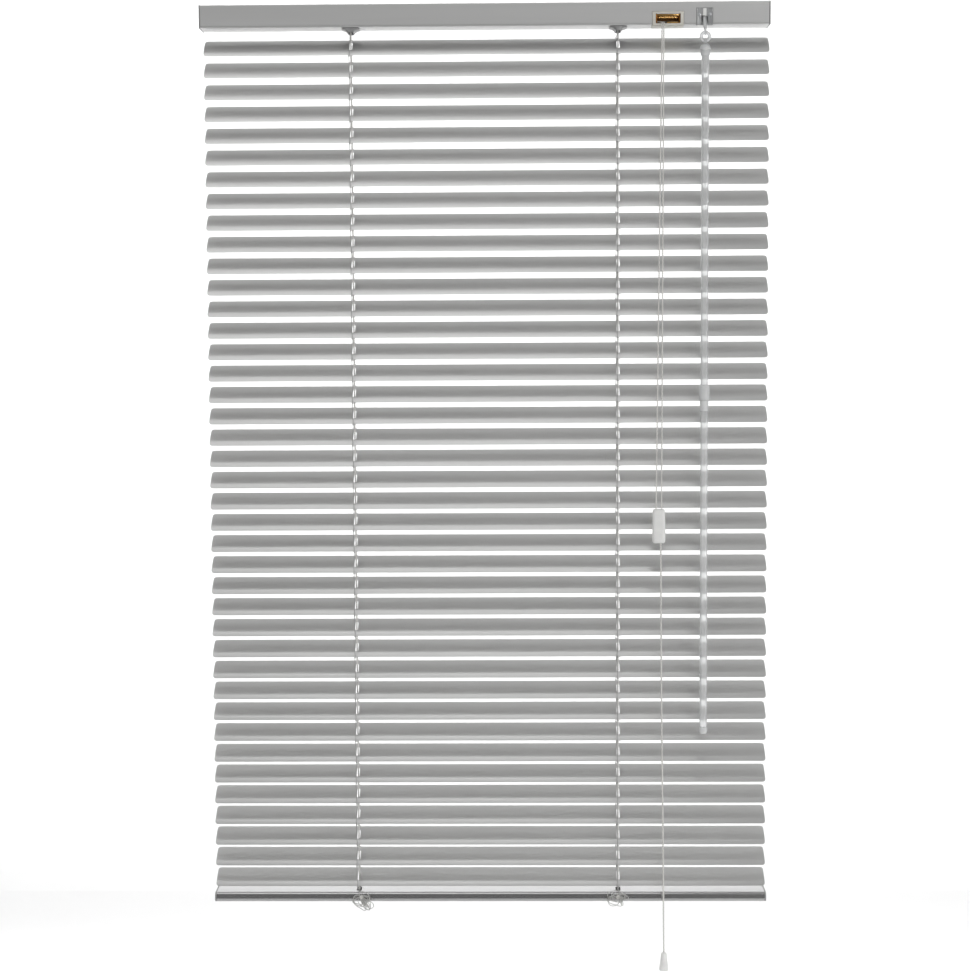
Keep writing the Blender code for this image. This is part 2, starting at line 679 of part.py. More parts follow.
def make_cord_lock_housing():
    """The lock's case at the front lower corner, with the window that the cords leave by."""
    half = LOCK_WIDTH / 2
    low = RAIL_FLOOR - 2 * GAP
    inner_front = -RAIL_DEPTH + RAIL_WALL + GAP
    case = add_object("cord_lock_housing", box_mesh(
        (LOCK_X - half, inner_front, low), (LOCK_X + half, LOCK_Y + LOCK_DEPTH, LOCK_TOP),
    ), "cream_plastic")
    join(case, box_mesh(
        (LOCK_X - half, LOCK_Y, low), (LOCK_X + half, LOCK_Y + FRAME_DEPTH, FRAME_TOP),
    ))
    cut(case, box_mesh(
        (LOCK_X - half + LOCK_WALL, LOCK_Y + LOCK_WALL, LOCK_FLOOR_TOP),
        (LOCK_X + half - LOCK_WALL, LOCK_Y + LOCK_DEPTH - LOCK_WALL, LOCK_TOP + OVERCUT),
    ))
    window = LOCK_WINDOW_WIDTH / 2
    cut(case, box_mesh(
        (LOCK_X - window, LOCK_Y - OVERCUT, LOCK_FLOOR_TOP),
        (LOCK_X + window, LOCK_Y + LOCK_WALL + OVERCUT, LOCK_WINDOW_TOP),
    ))
    cut(case, box_mesh(
        (LOCK_X - half - OVERCUT, MIDDLE_Y - CORD_DOOR_NEAR, LOCK_FLOOR_TOP),
        (LOCK_X - half + LOCK_WALL + OVERCUT, MIDDLE_Y + CORD_DOOR_FAR, LOCK_FLOOR_TOP + CORD_DOOR_HEIGHT),
    ))
    cut(case, roller_slot(GAP))
    reach = Vector((LOCK_WIDTH, 0, 0))
    centre = Vector((LOCK_X, MIDDLE_Y, ROD_HEIGHT))
    cut(case, cylinder_mesh(centre - reach, centre + reach, ROD_RADIUS + GAP))


def make_cord_lock_roller():
    """The brass roller that pinches the cords, free to rise along its slots."""
    reach = Vector((ROLLER_LENGTH / 2, 0, 0))
    pin = reach + Vector((TRUNNION_LENGTH, 0, 0))
    centre = Vector((LOCK_X, ROLLER_Y, ROLLER_Z))
    roller = add_object(
        "cord_lock_roller", cylinder_mesh(centre - reach, centre + reach, ROLLER_RADIUS), "brass",
    )
    join(roller, cylinder_mesh(centre - pin, centre + pin, TRUNNION_RADIUS, sides=12))


def make_bottom_rail():
    """A roll-formed rail with a slot along its underside and a cap at each end."""
    half_y = BOTTOM_DEPTH / 2 - BOTTOM_WALL / 2
    half_z = BOTTOM_HEIGHT / 2 - BOTTOM_WALL / 2
    corner_y, corner_z = half_y - BOTTOM_BEND, half_z - BOTTOM_BEND
    profile = [(-BOTTOM_SLOT / 2, -half_z)]
    profile += arc((-corner_y, -corner_z), BOTTOM_BEND, 270, 180, 4)
    profile += arc((-corner_y, corner_z), BOTTOM_BEND, 180, 90, 4)
    profile += arc((corner_y, corner_z), BOTTOM_BEND, 90, 0, 4)
    profile += arc((corner_y, -corner_z), BOTTOM_BEND, 0, -90, 4)
    profile += [(BOTTOM_SLOT / 2, -half_z)]
    mesh = strip_mesh(profile, BOTTOM_LENGTH - BOTTOM_CAP, BOTTOM_WALL)
    rail = add_object("bottom_rail", mesh, "slat")
    rail.location = (SLAT_SHIFT, MIDDLE_Y, BOTTOM_Z)
    rail.rotation_euler.x = BOTTOM_TILT_ANGLE
    outline = rounded_outline(BOTTOM_DEPTH, BOTTOM_HEIGHT, BOTTOM_BEND + BOTTOM_WALL / 2, 4)
    upright = Matrix(((0, 0, 1, 0), (1, 0, 0, 0), (0, 1, 0, 0), (0, 0, 0, 1)))
    placed = Matrix.LocRotScale(rail.location, rail.rotation_euler, None)
    for side in (-1, 1):
        cap = outline_mesh(outline, BOTTOM_CAP, upright)
        cap.transform(placed @ Matrix.Translation((side * (BOTTOM_LENGTH - BOTTOM_CAP) / 2, 0, 0)))
        join(rail, cap)
    for x in LADDER_X.values():
        slot = box_mesh(
            (x - SLAT_SHIFT - CORD_SLOT_WIDTH / 2, -CORD_SLOT_LENGTH / 2, 0),
            (x - SLAT_SHIFT + CORD_SLOT_WIDTH / 2, CORD_SLOT_LENGTH / 2, BOTTOM_HEIGHT),
        )
        slot.transform(placed)
        cut(rail, slot)


def rail_top_at(y):
    """Height of the tilted bottom rail's top surface at a distance from its middle line."""
    inward = max(0.0, abs(y) - (BOTTOM_DEPTH / 2 - BOTTOM_BEND))
    drop = BOTTOM_BEND - math.sqrt(BOTTOM_BEND ** 2 - inward ** 2)
    return BOTTOM_Z + (BOTTOM_HEIGHT / 2 - drop) / math.cos(BOTTOM_TILT_ANGLE) + y * math.tan(BOTTOM_TILT_ANGLE)


def make_ladder(side):
    """The woven ladder: a front and a back string with a rung under each slat."""
    x = LADDER_X[side]
    routes = []
    for face in (-1, 1):
        drum_y = MIDDLE_Y + face * (DRUM_RADIUS + STRING_RADIUS + GAP)
        guide_y = MIDDLE_Y + face * (STRING_HOLE_LENGTH / 2 - STRING_RADIUS - 2 * GAP)
        route = [(x, drum_y, ROD_HEIGHT), (x, guide_y, RAIL_FLOOR - GROMMET_HEIGHT - GAP)]
        for number in (1, SLAT_COUNT):
            route.append((x, *across_slat(number, face * STRING_OFFSET, -EDGE_DROP)))
        last_y = route[-1][1]
        end = rail_top_at(last_y - MIDDLE_Y) + STRING_RADIUS + 2 * GAP
        route.append((x, last_y, end))
        routes.append(route)
    ladder = add_object(f"ladder_{side}", tube_mesh(routes, STRING_RADIUS, 0), "ladder")
    rungs = []
    for number in range(1, SLAT_COUNT + 1):
        half = STRING_OFFSET
        inner = SLAT_WIDTH / 2 - RUNG_RADIUS
        rungs.append([
            (x + bow, *across_slat(number, y, z))
            for y, z, bow in (
                (-half, -EDGE_DROP, 0),
                (-inner, -RUNG_DROP, RUNG_BOW),
                (inner, -RUNG_DROP, RUNG_BOW),
                (half, -EDGE_DROP, 0),
            )
        ])
    join(ladder, tube_mesh(rungs, RUNG_RADIUS, 0))


def make_lift_cord(side):
    """One lift cord, from the bottom rail through the slats and the lock to the connector."""
    x = LADDER_X[side]
    place = -1 if side == "left" else 1
    run_z = FLOOR_TOP + GAP + CRADLE_BASE + CORD_RADIUS + RUN_CLEARANCE
    run_y = MIDDLE_Y if side == "right" else MIDDLE_Y - RUN_PASS
    exit_x = LOCK_X + EXIT_SHIFT + place * EXIT_SPREAD
    lip_y = LOCK_Y - CORD_RADIUS - GAP
    climb = [
        (x, MIDDLE_Y, BOTTOM_Z + 0.0015),
        (x, MIDDLE_Y, BOTTOM_Z + 0.3),
        (x, MIDDLE_Y, FIRST_SLAT_Z - 0.3),
        (x, MIDDLE_Y, FIRST_SLAT_Z),
        (x, MIDDLE_Y, run_z - 0.006),
        (x + 0.0002, MIDDLE_Y, run_z - 0.003),
        (x + 0.0022, MIDDLE_Y, run_z - 0.0004),
    ]
    along = [(x + 0.006, MIDDLE_Y + (run_y - MIDDLE_Y) * 0.25, run_z)]
    if side == "left":
        along += [
            (x + 0.020, run_y, run_z),
            (x + 0.090, run_y, run_z),
            (LADDER_X["right"] - 0.020, run_y, run_z),
            (LADDER_X["right"] + 0.016, run_y, run_z),
            (LOCK_X - 0.020, run_y - 0.0003, run_z + 0.0002),
            (LOCK_X - 0.0125, run_y - 0.0020, run_z + 0.0008),
        ]
    else:
        along += [
            (x + 0.020, run_y, run_z),
            (LOCK_X - 0.020, run_y, run_z),
            (LOCK_X - 0.0120, run_y - 0.0012, run_z + 0.0006),
            (LOCK_X - 0.0070, run_y - 0.0045, run_z + 0.0010),
        ]
    leave = [
        (exit_x - 0.0004, LOCK_Y + 0.0035, LOCK_FLOOR_TOP + CORD_RADIUS + 0.0010),
        (exit_x, lip_y + 0.0004, LOCK_FLOOR_TOP + 0.0006),
        (exit_x, lip_y - 0.0001, RAIL_FLOOR - 0.0010),
        (exit_x - 0.00002, lip_y - 0.0002, RAIL_FLOOR - 0.006),
    ]
    end = (CONNECTOR_X + place * DROP_SPREAD, CONNECTOR_Y, CONNECTOR_TOP + GAP)
    start = Vector(leave[-1])
    fall = [start.lerp(Vector(end), share) for share in (0.1, 0.5, 0.9, 1.0)]
    route = smooth_route(climb + along + leave + fall, 0.0035)
    add_object(f"lift_cord_{side}", tube_mesh([thinned(route)], CORD_RADIUS, 1), "cord")


def thinned(route):
    """The route without the points that its straight stretches don't need."""
    kept = [route[0]]
    for before, point, after in zip(route, route[1:], route[2:]):
        turn = (point - before).angle(after - point, 0.0)
        far = (point - kept[-1]).length > 0.12
        if turn > math.radians(0.7) or far:
            kept.append(point)
    return kept + [route[-1]]


def make_pull_cord():
    """The single cord between the connector and the tassel."""
    top = Vector((CONNECTOR_X + TAIL_SHIFT, CONNECTOR_Y, CONNECTOR_TOP - CONNECTOR_LENGTH - GAP))
    low = Vector((TASSEL_X, CONNECTOR_Y, TASSEL_TOP + GAP))
    knots = [top, top.lerp(low, 0.35) + Vector((-0.0004, 0, 0)), top.lerp(low, 0.7), low]
    route = smooth_route(knots, 0.03)
    add_object("pull_cord", tube_mesh([route], TAIL_RADIUS, 2), "cord")


def make_cord_connector():
    """The connector that gathers the two lift cords: a flat drop with a tapered top."""
    block = box_mesh(
        (CONNECTOR_X - CONNECTOR_WIDTH / 2, CONNECTOR_Y - CONNECTOR_DEPTH / 2,
         CONNECTOR_TOP - CONNECTOR_LENGTH),
        (CONNECTOR_X + CONNECTOR_WIDTH / 2, CONNECTOR_Y + CONNECTOR_DEPTH / 2, CONNECTOR_TOP),
    )
    connector = add_object("cord_connector", block, "white_plastic")
    bevel = connector.modifiers.new("round_edges", "BEVEL")
    bevel.width = CONNECTOR_EDGE
    bevel.segments = 2


def make_tassel():
    """The bell-shaped pull at the end of the cord."""
    centre = Vector((TASSEL_X, CONNECTOR_Y, 0))
    shoulder = TASSEL_TOP - 0.22 * TASSEL_LENGTH
    bottom = TASSEL_TOP - TASSEL_LENGTH
    profile = [(0.0012, TASSEL_TOP), (0.8 * TASSEL_NECK, TASSEL_TOP - 0.0006)]
    profile += [(TASSEL_NECK, shoulder)]
    profile += [(0.94 * TASSEL_MOUTH, bottom + 0.25 * TASSEL_LENGTH)]
    profile += [(TASSEL_MOUTH, bottom + 0.0012), (0.92 * TASSEL_MOUTH, bottom)]
    tassel_mesh = mesh_of(lambda bm: turned(bm, centre, profile))
    add_object("tassel", tassel_mesh, "white_plastic")


def turned(bm, centre, profile, sides=16):
    """A solid of revolution about a vertical axis, closed at both ends."""
    rings = []
    for radius, height in profile:
        ring = []
        for number in range(sides):
            angle = 2 * math.pi * number / sides
            offset = Vector((radius * math.cos(angle), radius * math.sin(angle), height))
            ring.append(bm.verts.new(centre + offset))
        rings.append(ring)
    for upper, lower in zip(rings, rings[1:]):
        for number in range(sides):
            after = (number + 1) % sides
            bm.faces.new((upper[number], lower[number], lower[after], upper[after]))
    bm.faces.new(rings[0])
    bm.faces.new(reversed(rings[-1]))


def main():
    make_headrail()
    make_tilt_rod()
    for side in LADDER_X:
        make_ladder_drum(side)
        make_drum_cradle(side)
        make_ladder(side)
        make_lift_cord(side)
    make_tilter_housing()
    make_tilter_worm()
    make_wand_hook()
    make_wand()
    make_cord_lock_housing()
    make_cord_lock_roller()
    make_bottom_rail()
    make_slats()
    make_pull_cord()
    make_cord_connector()
    make_tassel()


main()
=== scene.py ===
"""Looks of the venetian blind: painted slats and rails, woven ladders, a clear wand,
a cord lock with brass works, and the lift cords with their connector and tassel.

Metres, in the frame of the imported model: X along the blind, the room on the -Y side, +Z up.
"""

import json
import math
import random

import bmesh
import bpy
from mathutils import Matrix, Vector


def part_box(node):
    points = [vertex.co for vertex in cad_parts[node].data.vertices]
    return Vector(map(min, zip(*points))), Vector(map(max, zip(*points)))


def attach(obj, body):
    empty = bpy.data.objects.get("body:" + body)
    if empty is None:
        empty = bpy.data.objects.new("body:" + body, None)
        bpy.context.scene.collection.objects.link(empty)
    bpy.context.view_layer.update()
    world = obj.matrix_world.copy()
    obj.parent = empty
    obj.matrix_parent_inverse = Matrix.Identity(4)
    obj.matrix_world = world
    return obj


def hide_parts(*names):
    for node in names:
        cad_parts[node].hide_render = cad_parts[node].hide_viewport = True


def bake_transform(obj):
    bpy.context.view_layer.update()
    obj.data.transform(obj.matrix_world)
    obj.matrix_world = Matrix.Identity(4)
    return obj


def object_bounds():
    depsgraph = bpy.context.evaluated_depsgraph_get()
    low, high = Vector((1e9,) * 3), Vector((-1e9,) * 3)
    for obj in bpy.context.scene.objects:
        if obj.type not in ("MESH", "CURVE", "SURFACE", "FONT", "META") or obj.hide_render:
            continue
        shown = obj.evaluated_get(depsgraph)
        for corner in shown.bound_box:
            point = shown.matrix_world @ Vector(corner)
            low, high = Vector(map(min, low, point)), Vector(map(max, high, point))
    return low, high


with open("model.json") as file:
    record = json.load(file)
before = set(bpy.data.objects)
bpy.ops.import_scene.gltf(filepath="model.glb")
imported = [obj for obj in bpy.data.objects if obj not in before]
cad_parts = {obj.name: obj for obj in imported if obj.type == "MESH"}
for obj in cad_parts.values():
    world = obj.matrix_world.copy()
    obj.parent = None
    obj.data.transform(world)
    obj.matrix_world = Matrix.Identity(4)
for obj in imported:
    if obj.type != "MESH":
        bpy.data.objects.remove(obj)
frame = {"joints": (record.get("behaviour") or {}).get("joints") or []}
CAD_BOX = [list(corner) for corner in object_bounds()]
JOINTS = {joint["name"]: joint for joint in frame["joints"]}

GAP = 0.0003

# Slats
SLAT_COUNT = 40
SLAT = {
    "Length": 0.560, "Width": 0.025, "Crown": 0.0019, "Thickness": 0.00021, "Corner": 0.003,
    "Hole Length": 0.012, "Hole Width": 0.003, "Ladder Spacing": 0.265, "Ladder Shift": -0.0015,
}
SLAT_SHIFT = 0.0015
TOP_TILT = math.radians(43.5)
BOTTOM_TILT = math.radians(32.5)

# Rails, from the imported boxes
RAIL_LOW, RAIL_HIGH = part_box("headrail")
RAIL_FLOOR, RAIL_TOP = RAIL_LOW.z, RAIL_HIGH.z
RAIL_FRONT, RAIL_BACK = RAIL_LOW.y, RAIL_HIGH.y
RAIL_DEPTH = RAIL_BACK - RAIL_FRONT
MIDDLE_Y = (RAIL_FRONT + RAIL_BACK) / 2
RAIL_WALL = 0.0006
RAIL_BEND = 0.0012
RAIL_LIP = 0.0032
BEAD_TOP = 0.0032
BEAD_PROUD = 0.0003
SEAM_RISE = 0.0012
SEAM_HEIGHT = 0.0006
SEAM_DEPTH = 0.00042
CAP_WALL = 0.0012
FLOOR_TOP = RAIL_FLOOR + RAIL_WALL
BOTTOM_AXIS = Vector(JOINTS["bottom_rail_tilt"]["pos_m"])
BOTTOM_TILT_ANGLE = math.radians(3.0)
BOTTOM_LENGTH = 0.562
BOTTOM_DEPTH = 0.025
BOTTOM_HEIGHT = 0.010
BOTTOM_WALL = 0.0007
BOTTOM_BEND = 0.0038
BOTTOM_SLOT = 0.010
BOTTOM_CAP = 0.0016

# Ladders
LADDER_X = (-SLAT["Ladder Spacing"] / 2, SLAT["Ladder Spacing"] / 2)
STRING_RADIUS = 0.00034
STRING_SHIFT = -0.0012
STRING_WEAVE = 0.0003
STRING_OFFSET = SLAT["Width"] / 2 + 0.0012
EDGE_DROP = SLAT["Crown"] / 2
RUNG_RADIUS = 0.00028
RUNG_DROP = EDGE_DROP + SLAT["Thickness"] / 2 + RUNG_RADIUS + GAP / 2
RUNG_BOW = 0.0030
DRUM_RADIUS = 0.0067
GUIDE_HALF = 0.0093
GUIDE_DROP = 0.0041

# Tilt works
ROD_HEIGHT = JOINTS["tilt"]["pos_m"][2]
WORM_CENTRE = Vector(JOINTS["worm_spin"]["pos_m"])
WORM_AXIS = Vector(JOINTS["worm_spin"]["axis"])
LINK_TOP = Vector(JOINTS["hook_spin"]["pos_m"])
LINK_BOTTOM = Vector(JOINTS["wand_swing"]["pos_m"])
TILTER_LOW, TILTER_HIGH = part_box("tilter_housing")
TILTER_X = WORM_CENTRE.x

# Wand
LINK_WIRE = 0.0008
WAND_EYE_RADIUS = 0.0026
WAND_EYE_WIRE = 0.0009
WAND_HEAD_RADIUS = 0.0054
WAND_HEAD_LENGTH = 0.0105
WAND_RADIUS = 0.0038
SLEEVE_RADIUS = 0.0053
SLEEVE_LENGTH = 0.015
SLEEVE_DROP = 0.3366
COLLAR_RADIUS = 0.0044
COLLAR_LENGTH = 0.011
TIP_RADIUS = 0.0042
TIP_LENGTH = 0.007

# Cord lock, cords, connector and tassel
LOCK_LOW, LOCK_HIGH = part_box("cord_lock_housing")
LOCK_X = (LOCK_LOW.x + LOCK_HIGH.x) / 2
LOCK_Y = LOCK_LOW.y
LOCK_FLOOR_TOP = RAIL_FLOOR + 0.0012
FRAME_TOP = RAIL_FLOOR + 0.0128
WINDOW_TOP = RAIL_FLOOR + 0.0114
WINDOW_WIDTH = 0.0245
CORD_RADIUS = 0.0007
TAIL_RADIUS = 0.0008
DROP_SPREAD = 0.0027
EXIT_SPREAD = 0.0009
EXIT_X = LOCK_X - 0.0052
CONNECTOR_LOW, CONNECTOR_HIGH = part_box("cord_connector")
CONNECTOR_X = (CONNECTOR_LOW.x + CONNECTOR_HIGH.x) / 2
CONNECTOR_Y = (CONNECTOR_LOW.y + CONNECTOR_HIGH.y) / 2
TASSEL_LOW, TASSEL_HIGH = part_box("tassel")
TASSEL_X = (TASSEL_LOW.x + TASSEL_HIGH.x) / 2
TAIL_SHIFT = 0.002
SLAT_AXES = [Vector(JOINTS[f"slat_{n:02d}_tilt"]["pos_m"]) for n in range(1, SLAT_COUNT + 1)]
FIRST_SLAT_Z = SLAT_AXES[0].z


# ---------------------------------------------------------------- node trees and finishes


def add_node(tree, kind, inputs=None, **settings):
    """A new node, with its inputs set to values or wired to sockets."""
    node = tree.nodes.new(kind)
    for name, value in settings.items():
        setattr(node, name, value)
    for key, value in (inputs or {}).items():
        if isinstance(value, bpy.types.NodeSocket):
            tree.links.new(value, node.inputs[key])
        else:
            node.inputs[key].default_value = value
    return node


def math_node(tree, operation, first, second=0.0):
    return add_node(tree, "ShaderNodeMath", {0: first, 1: second}, operation=operation).outputs[0]


def new_material(name):
    """An empty material's tree, its shader, and its Object coordinates."""
    made = bpy.data.materials.new(name)
    made.use_nodes = True
    tree = made.node_tree
    shader = tree.nodes["Principled BSDF"]
    place = add_node(tree, "ShaderNodeTexCoord")
    return made, tree, shader, place


def mottled(tree, place, scale, detail, stretch=(1, 1, 1)):
    """Noise between 0 and 1 on the object's own place, stretched along an axis."""
    mapping = add_node(tree, "ShaderNodeMapping", {"Vector": place.outputs["Object"], "Scale": stretch})
    noise = add_node(tree, "ShaderNodeTexNoise", {
        "Vector": mapping.outputs[0], "Scale": scale, "Detail": detail, "Roughness": 0.6,
    })
    return noise.outputs["Fac"]


def between(tree, share, low, high):
    """A value that runs from low to high as the share runs over the middle of its range."""
    node = add_node(tree, "ShaderNodeMapRange", {
        "Value": share, "From Min": 0.3, "From Max": 0.7, "To Min": low, "To Max": high,
    })
    return node.outputs["Result"]


def two_tones(tree, share, dark, light):
    ramp = add_node(tree, "ShaderNodeValToRGB", {"Fac": share})
    ramp.color_ramp.elements[0].position = 0.32
    ramp.color_ramp.elements[0].color = (*dark, 1)
    ramp.color_ramp.elements[1].position = 0.68
    ramp.color_ramp.elements[1].color = (*light, 1)
    return ramp.outputs["Color"]


def bumped(tree, shader, height, strength, distance):
    bump = add_node(tree, "ShaderNodeBump", {"Height": height, "Strength": strength, "Distance": distance})
    tree.links.new(bump.outputs["Normal"], shader.inputs["Normal"])


def coil_paint(name, dark, light, roughness, metallic):
    """Roller-coated paint: faint streaks along the strip and a fine metallic grain."""
    made, tree, shader, place = new_material(name)
    streaks = mottled(tree, place, 40, 3, (0.04, 1, 1))
    grain = mottled(tree, place, 5200, 2)
    mixed = math_node(tree, "ADD", math_node(tree, "MULTIPLY", streaks, 0.6), math_node(tree, "MULTIPLY", grain, 0.4))
    tree.links.new(two_tones(tree, mixed, dark, light), shader.inputs["Base Color"])
    tree.links.new(between(tree, grain, roughness - 0.05, roughness + 0.06), shader.inputs["Roughness"])
    shader.inputs["Metallic"].default_value = metallic
    shader.inputs["Coat Weight"].default_value = 0.25
    shader.inputs["Coat Roughness"].default_value = 0.22
    bumped(tree, shader, grain, 0.05, 0.0001)
    return made


def moulded(name, dark, light, roughness, grain_scale=900, bump=0.06, metallic=0.0):
    """Moulded or turned stuff: soft mottling in its colour and a fine surface grain."""
    made, tree, shader, place = new_material(name)
    cloud = mottled(tree, place, 90, 4)
    grain = mottled(tree, place, grain_scale, 3)
    tree.links.new(two_tones(tree, cloud, dark, light), shader.inputs["Base Color"])
    tree.links.new(between(tree, grain, roughness - 0.06, roughness + 0.08), shader.inputs["Roughness"])
    shader.inputs["Metallic"].default_value = metallic
    bumped(tree, shader, grain, bump, 0.0003)
    return made


def clear_moulding(name, tint, roughness, clearness):
    """Clear plastic with faint flow lines from the mould."""
    made, tree, shader, place = new_material(name)
    flow = mottled(tree, place, 60, 3, (1, 1, 0.15))
    tree.links.new(two_tones(tree, flow, tint, (0.97, 0.98, 0.98)), shader.inputs["Base Color"])
    tree.links.new(between(tree, flow, roughness, roughness + 0.06), shader.inputs["Roughness"])
    shader.inputs["Transmission Weight"].default_value = clearness
    shader.inputs["IOR"].default_value = 1.49
    bumped(tree, shader, flow, 0.10, 0.0004)
    return made


def braid(name, dark, light, strands, lay):
    """Braided yarn: two sets of strands that cross, around the cord and along it."""
    made, tree, shader, place = new_material(name)
    crossing = []
    for hand in (1, -1):
        mapping = add_node(tree, "ShaderNodeMapping", {
            "Vector": place.outputs["UV"], "Scale": (hand * strands, 1 / lay, 1),
        })
        wave = add_node(tree, "ShaderNodeTexWave", {
            "Vector": mapping.outputs[0], "Scale": 0.3183, "Distortion": 0.6, "Detail": 1.0,
            "Detail Scale": 2.0,
        }, bands_direction="DIAGONAL")
        crossing.append(wave.outputs["Fac"])
    weave = math_node(tree, "MAXIMUM", *crossing)
    tree.links.new(two_tones(tree, weave, dark, light), shader.inputs["Base Color"])
    shader.inputs["Roughness"].default_value = 0.85
    shader.inputs["Sheen Weight"].default_value = 0.3
    shader.inputs["Sheen Roughness"].default_value = 0.5
    bumped(tree, shader, weave, 0.6, 0.0002)
    return made


SLAT_PAINT = coil_paint("slat_paint", (0.48, 0.48, 0.475), (0.54, 0.54, 0.535), 0.30, 0.50)
RAIL_PAINT = coil_paint("rail_paint", (0.57, 0.57, 0.565), (0.62, 0.62, 0.615), 0.38, 0.25)
GLOSS_PAINT = coil_paint("gloss_paint", (0.46, 0.46, 0.46), (0.52, 0.52, 0.52), 0.16, 0.85)
CAP_PAINT = coil_paint("cap_paint", (0.30, 0.30, 0.30), (0.36, 0.36, 0.36), 0.50, 0.10)
ZINC = moulded("zinc_plate", (0.45, 0.46, 0.48), (0.62, 0.63, 0.65), 0.34, 1600, 0.05, 0.9)
DARK_NYLON = moulded("grey_nylon", (0.24, 0.24, 0.24), (0.36, 0.36, 0.36), 0.38)
CREAM = moulded("cream_plastic", (0.62, 0.60, 0.54), (0.72, 0.70, 0.63), 0.42)
BROWN_BRASS = moulded("aged_brass", (0.16, 0.06, 0.015), (0.46, 0.20, 0.04), 0.32, 1200, 0.08, 0.75)
BRIGHT_BRASS = moulded("bright_brass", (0.62, 0.34, 0.10), (0.86, 0.60, 0.26), 0.20, 1400, 0.04, 0.95)
WHITE_PLASTIC = moulded("white_plastic", (0.80, 0.80, 0.79), (0.88, 0.88, 0.86), 0.36)
CLEAR = clear_moulding("clear_plastic", (0.95, 0.96, 0.96), 0.06, 0.64)
FROSTED = clear_moulding("frosted_plastic", (0.88, 0.89, 0.89), 0.22, 0.40)
SMOKED = clear_moulding("smoked_plastic", (0.42, 0.43, 0.44), 0.12, 0.60)
CORD_BRAID = braid("cord_braid", (0.46, 0.45, 0.43), (0.76, 0.75, 0.72), 6, 0.0022)
LADDER_YARN = braid("ladder_yarn", (0.20, 0.20, 0.195), (0.42, 0.42, 0.41), 3, 0.0012)
PALE_YARN = braid("pale_yarn", (0.26, 0.26, 0.25), (0.54, 0.54, 0.52), 3, 0.0012)


# ---------------------------------------------------------------- shapes


def new_piece(name, mesh, finish, smooth_under=38):
    """An object at the origin with its finish, smooth where its faces meet at small angles."""
    obj = bpy.data.objects.new(name, mesh)
    bpy.context.scene.collection.objects.link(obj)
    mesh.materials.clear()
    mesh.materials.append(finish)
    mesh.shade_smooth()
    mesh.set_sharp_from_angle(angle=math.radians(smooth_under))
    return obj


def plain_mesh(obj):
    """The evaluated mesh of an object, which is then removed."""
    bpy.context.view_layer.update()
    graph = bpy.context.evaluated_depsgraph_get()
    mesh = bpy.data.meshes.new_from_object(obj.evaluated_get(graph))
    bpy.data.objects.remove(obj)
    return mesh


def mesh_of(build):
    bm = bmesh.new()
    build(bm)
    mesh = bpy.data.meshes.new("shape")
    bm.to_mesh(mesh)
    bm.free()
    return mesh


def joined(meshes):
    """Several meshes as one."""
    bm = bmesh.new()
    for mesh in meshes:
        bm.from_mesh(mesh)
    made = bpy.data.meshes.new("joined")
    bm.to_mesh(made)
    bm.free()
    return made


def box_shape(low, high, edge=0.0, segments=2):
    """A box between two corners, its edges rounded."""
    low, high = Vector(low), Vector(high)
    place = Matrix.Translation((low + high) / 2) @ Matrix.Diagonal((*(high - low), 1))

    def build(bm):
        bmesh.ops.create_cube(bm, size=1, matrix=place)
        if edge:
            bmesh.ops.bevel(bm, geom=list(bm.edges), offset=edge, segments=segments, profile=0.5, affect="EDGES")

    return mesh_of(build)


def turned(profile, sides=32):
    """A closed solid turned about Z, from points of radius and height listed downwards."""

    def build(bm):
        rings = []
        for radius, height in profile:
            ring = []
            for number in range(sides):
                angle = 2 * math.pi * number / sides
                ring.append(bm.verts.new((radius * math.cos(angle), radius * math.sin(angle), height)))
            rings.append(ring)
        for upper, lower in zip(rings, rings[1:]):
            for number in range(sides):
                after = (number + 1) % sides
                bm.faces.new((upper[number], lower[number], lower[after], upper[after]))
        bm.faces.new(rings[0])
        bm.faces.new(reversed(rings[-1]))
        bmesh.ops.recalc_face_normals(bm, faces=bm.faces)

    return mesh_of(build)


def moved(mesh, offset=(0, 0, 0), axis=None):
    """The mesh with its Z turned to an axis, then carried to a place."""
    turn = Matrix.Identity(4)
    if axis is not None:
        turn = Vector(axis).to_track_quat("Z", "Y").to_matrix().to_4x4()
    mesh.transform(Matrix.Translation(Vector(offset)) @ turn)
    return mesh


def ring(centre, normal, ring_radius, wire_radius, sides=40, wire_sides=12):
    """A round ring of wire."""
    route = []
    for number in range(sides):
        angle = 2 * math.pi * number / sides
        route.append(Vector((ring_radius * math.cos(angle), ring_radius * math.sin(angle), 0)))
    turn = Vector(normal).to_track_quat("Z", "Y").to_matrix()
    route = [Vector(centre) + turn @ point for point in route]
    return tube(route, wire_radius, wire_sides, closed=True)


def smooth_route(knots, step):
    """Points about a step apart on a smooth curve through the knots."""
    knots = [Vector(k) for k in knots]
    padded = [2 * knots[0] - knots[1], *knots, 2 * knots[-1] - knots[-2]]
    headings = [(after - before).normalized() for before, after in zip(padded, padded[2:])]
    points = [knots[0]]
    for start, end, leave, arrive in zip(knots, knots[1:], headings, headings[1:]):
        span = (end - start).length
        pieces = max(1, round(span / step))
        for number in range(1, pieces + 1):
            t = number / pieces
            points.append(
                (2 * t ** 3 - 3 * t ** 2 + 1) * start
                + (t ** 3 - 2 * t ** 2 + t) * span * leave
                + (3 * t ** 2 - 2 * t ** 3) * end
                + (t ** 3 - t ** 2) * span * arrive
            )
    return points


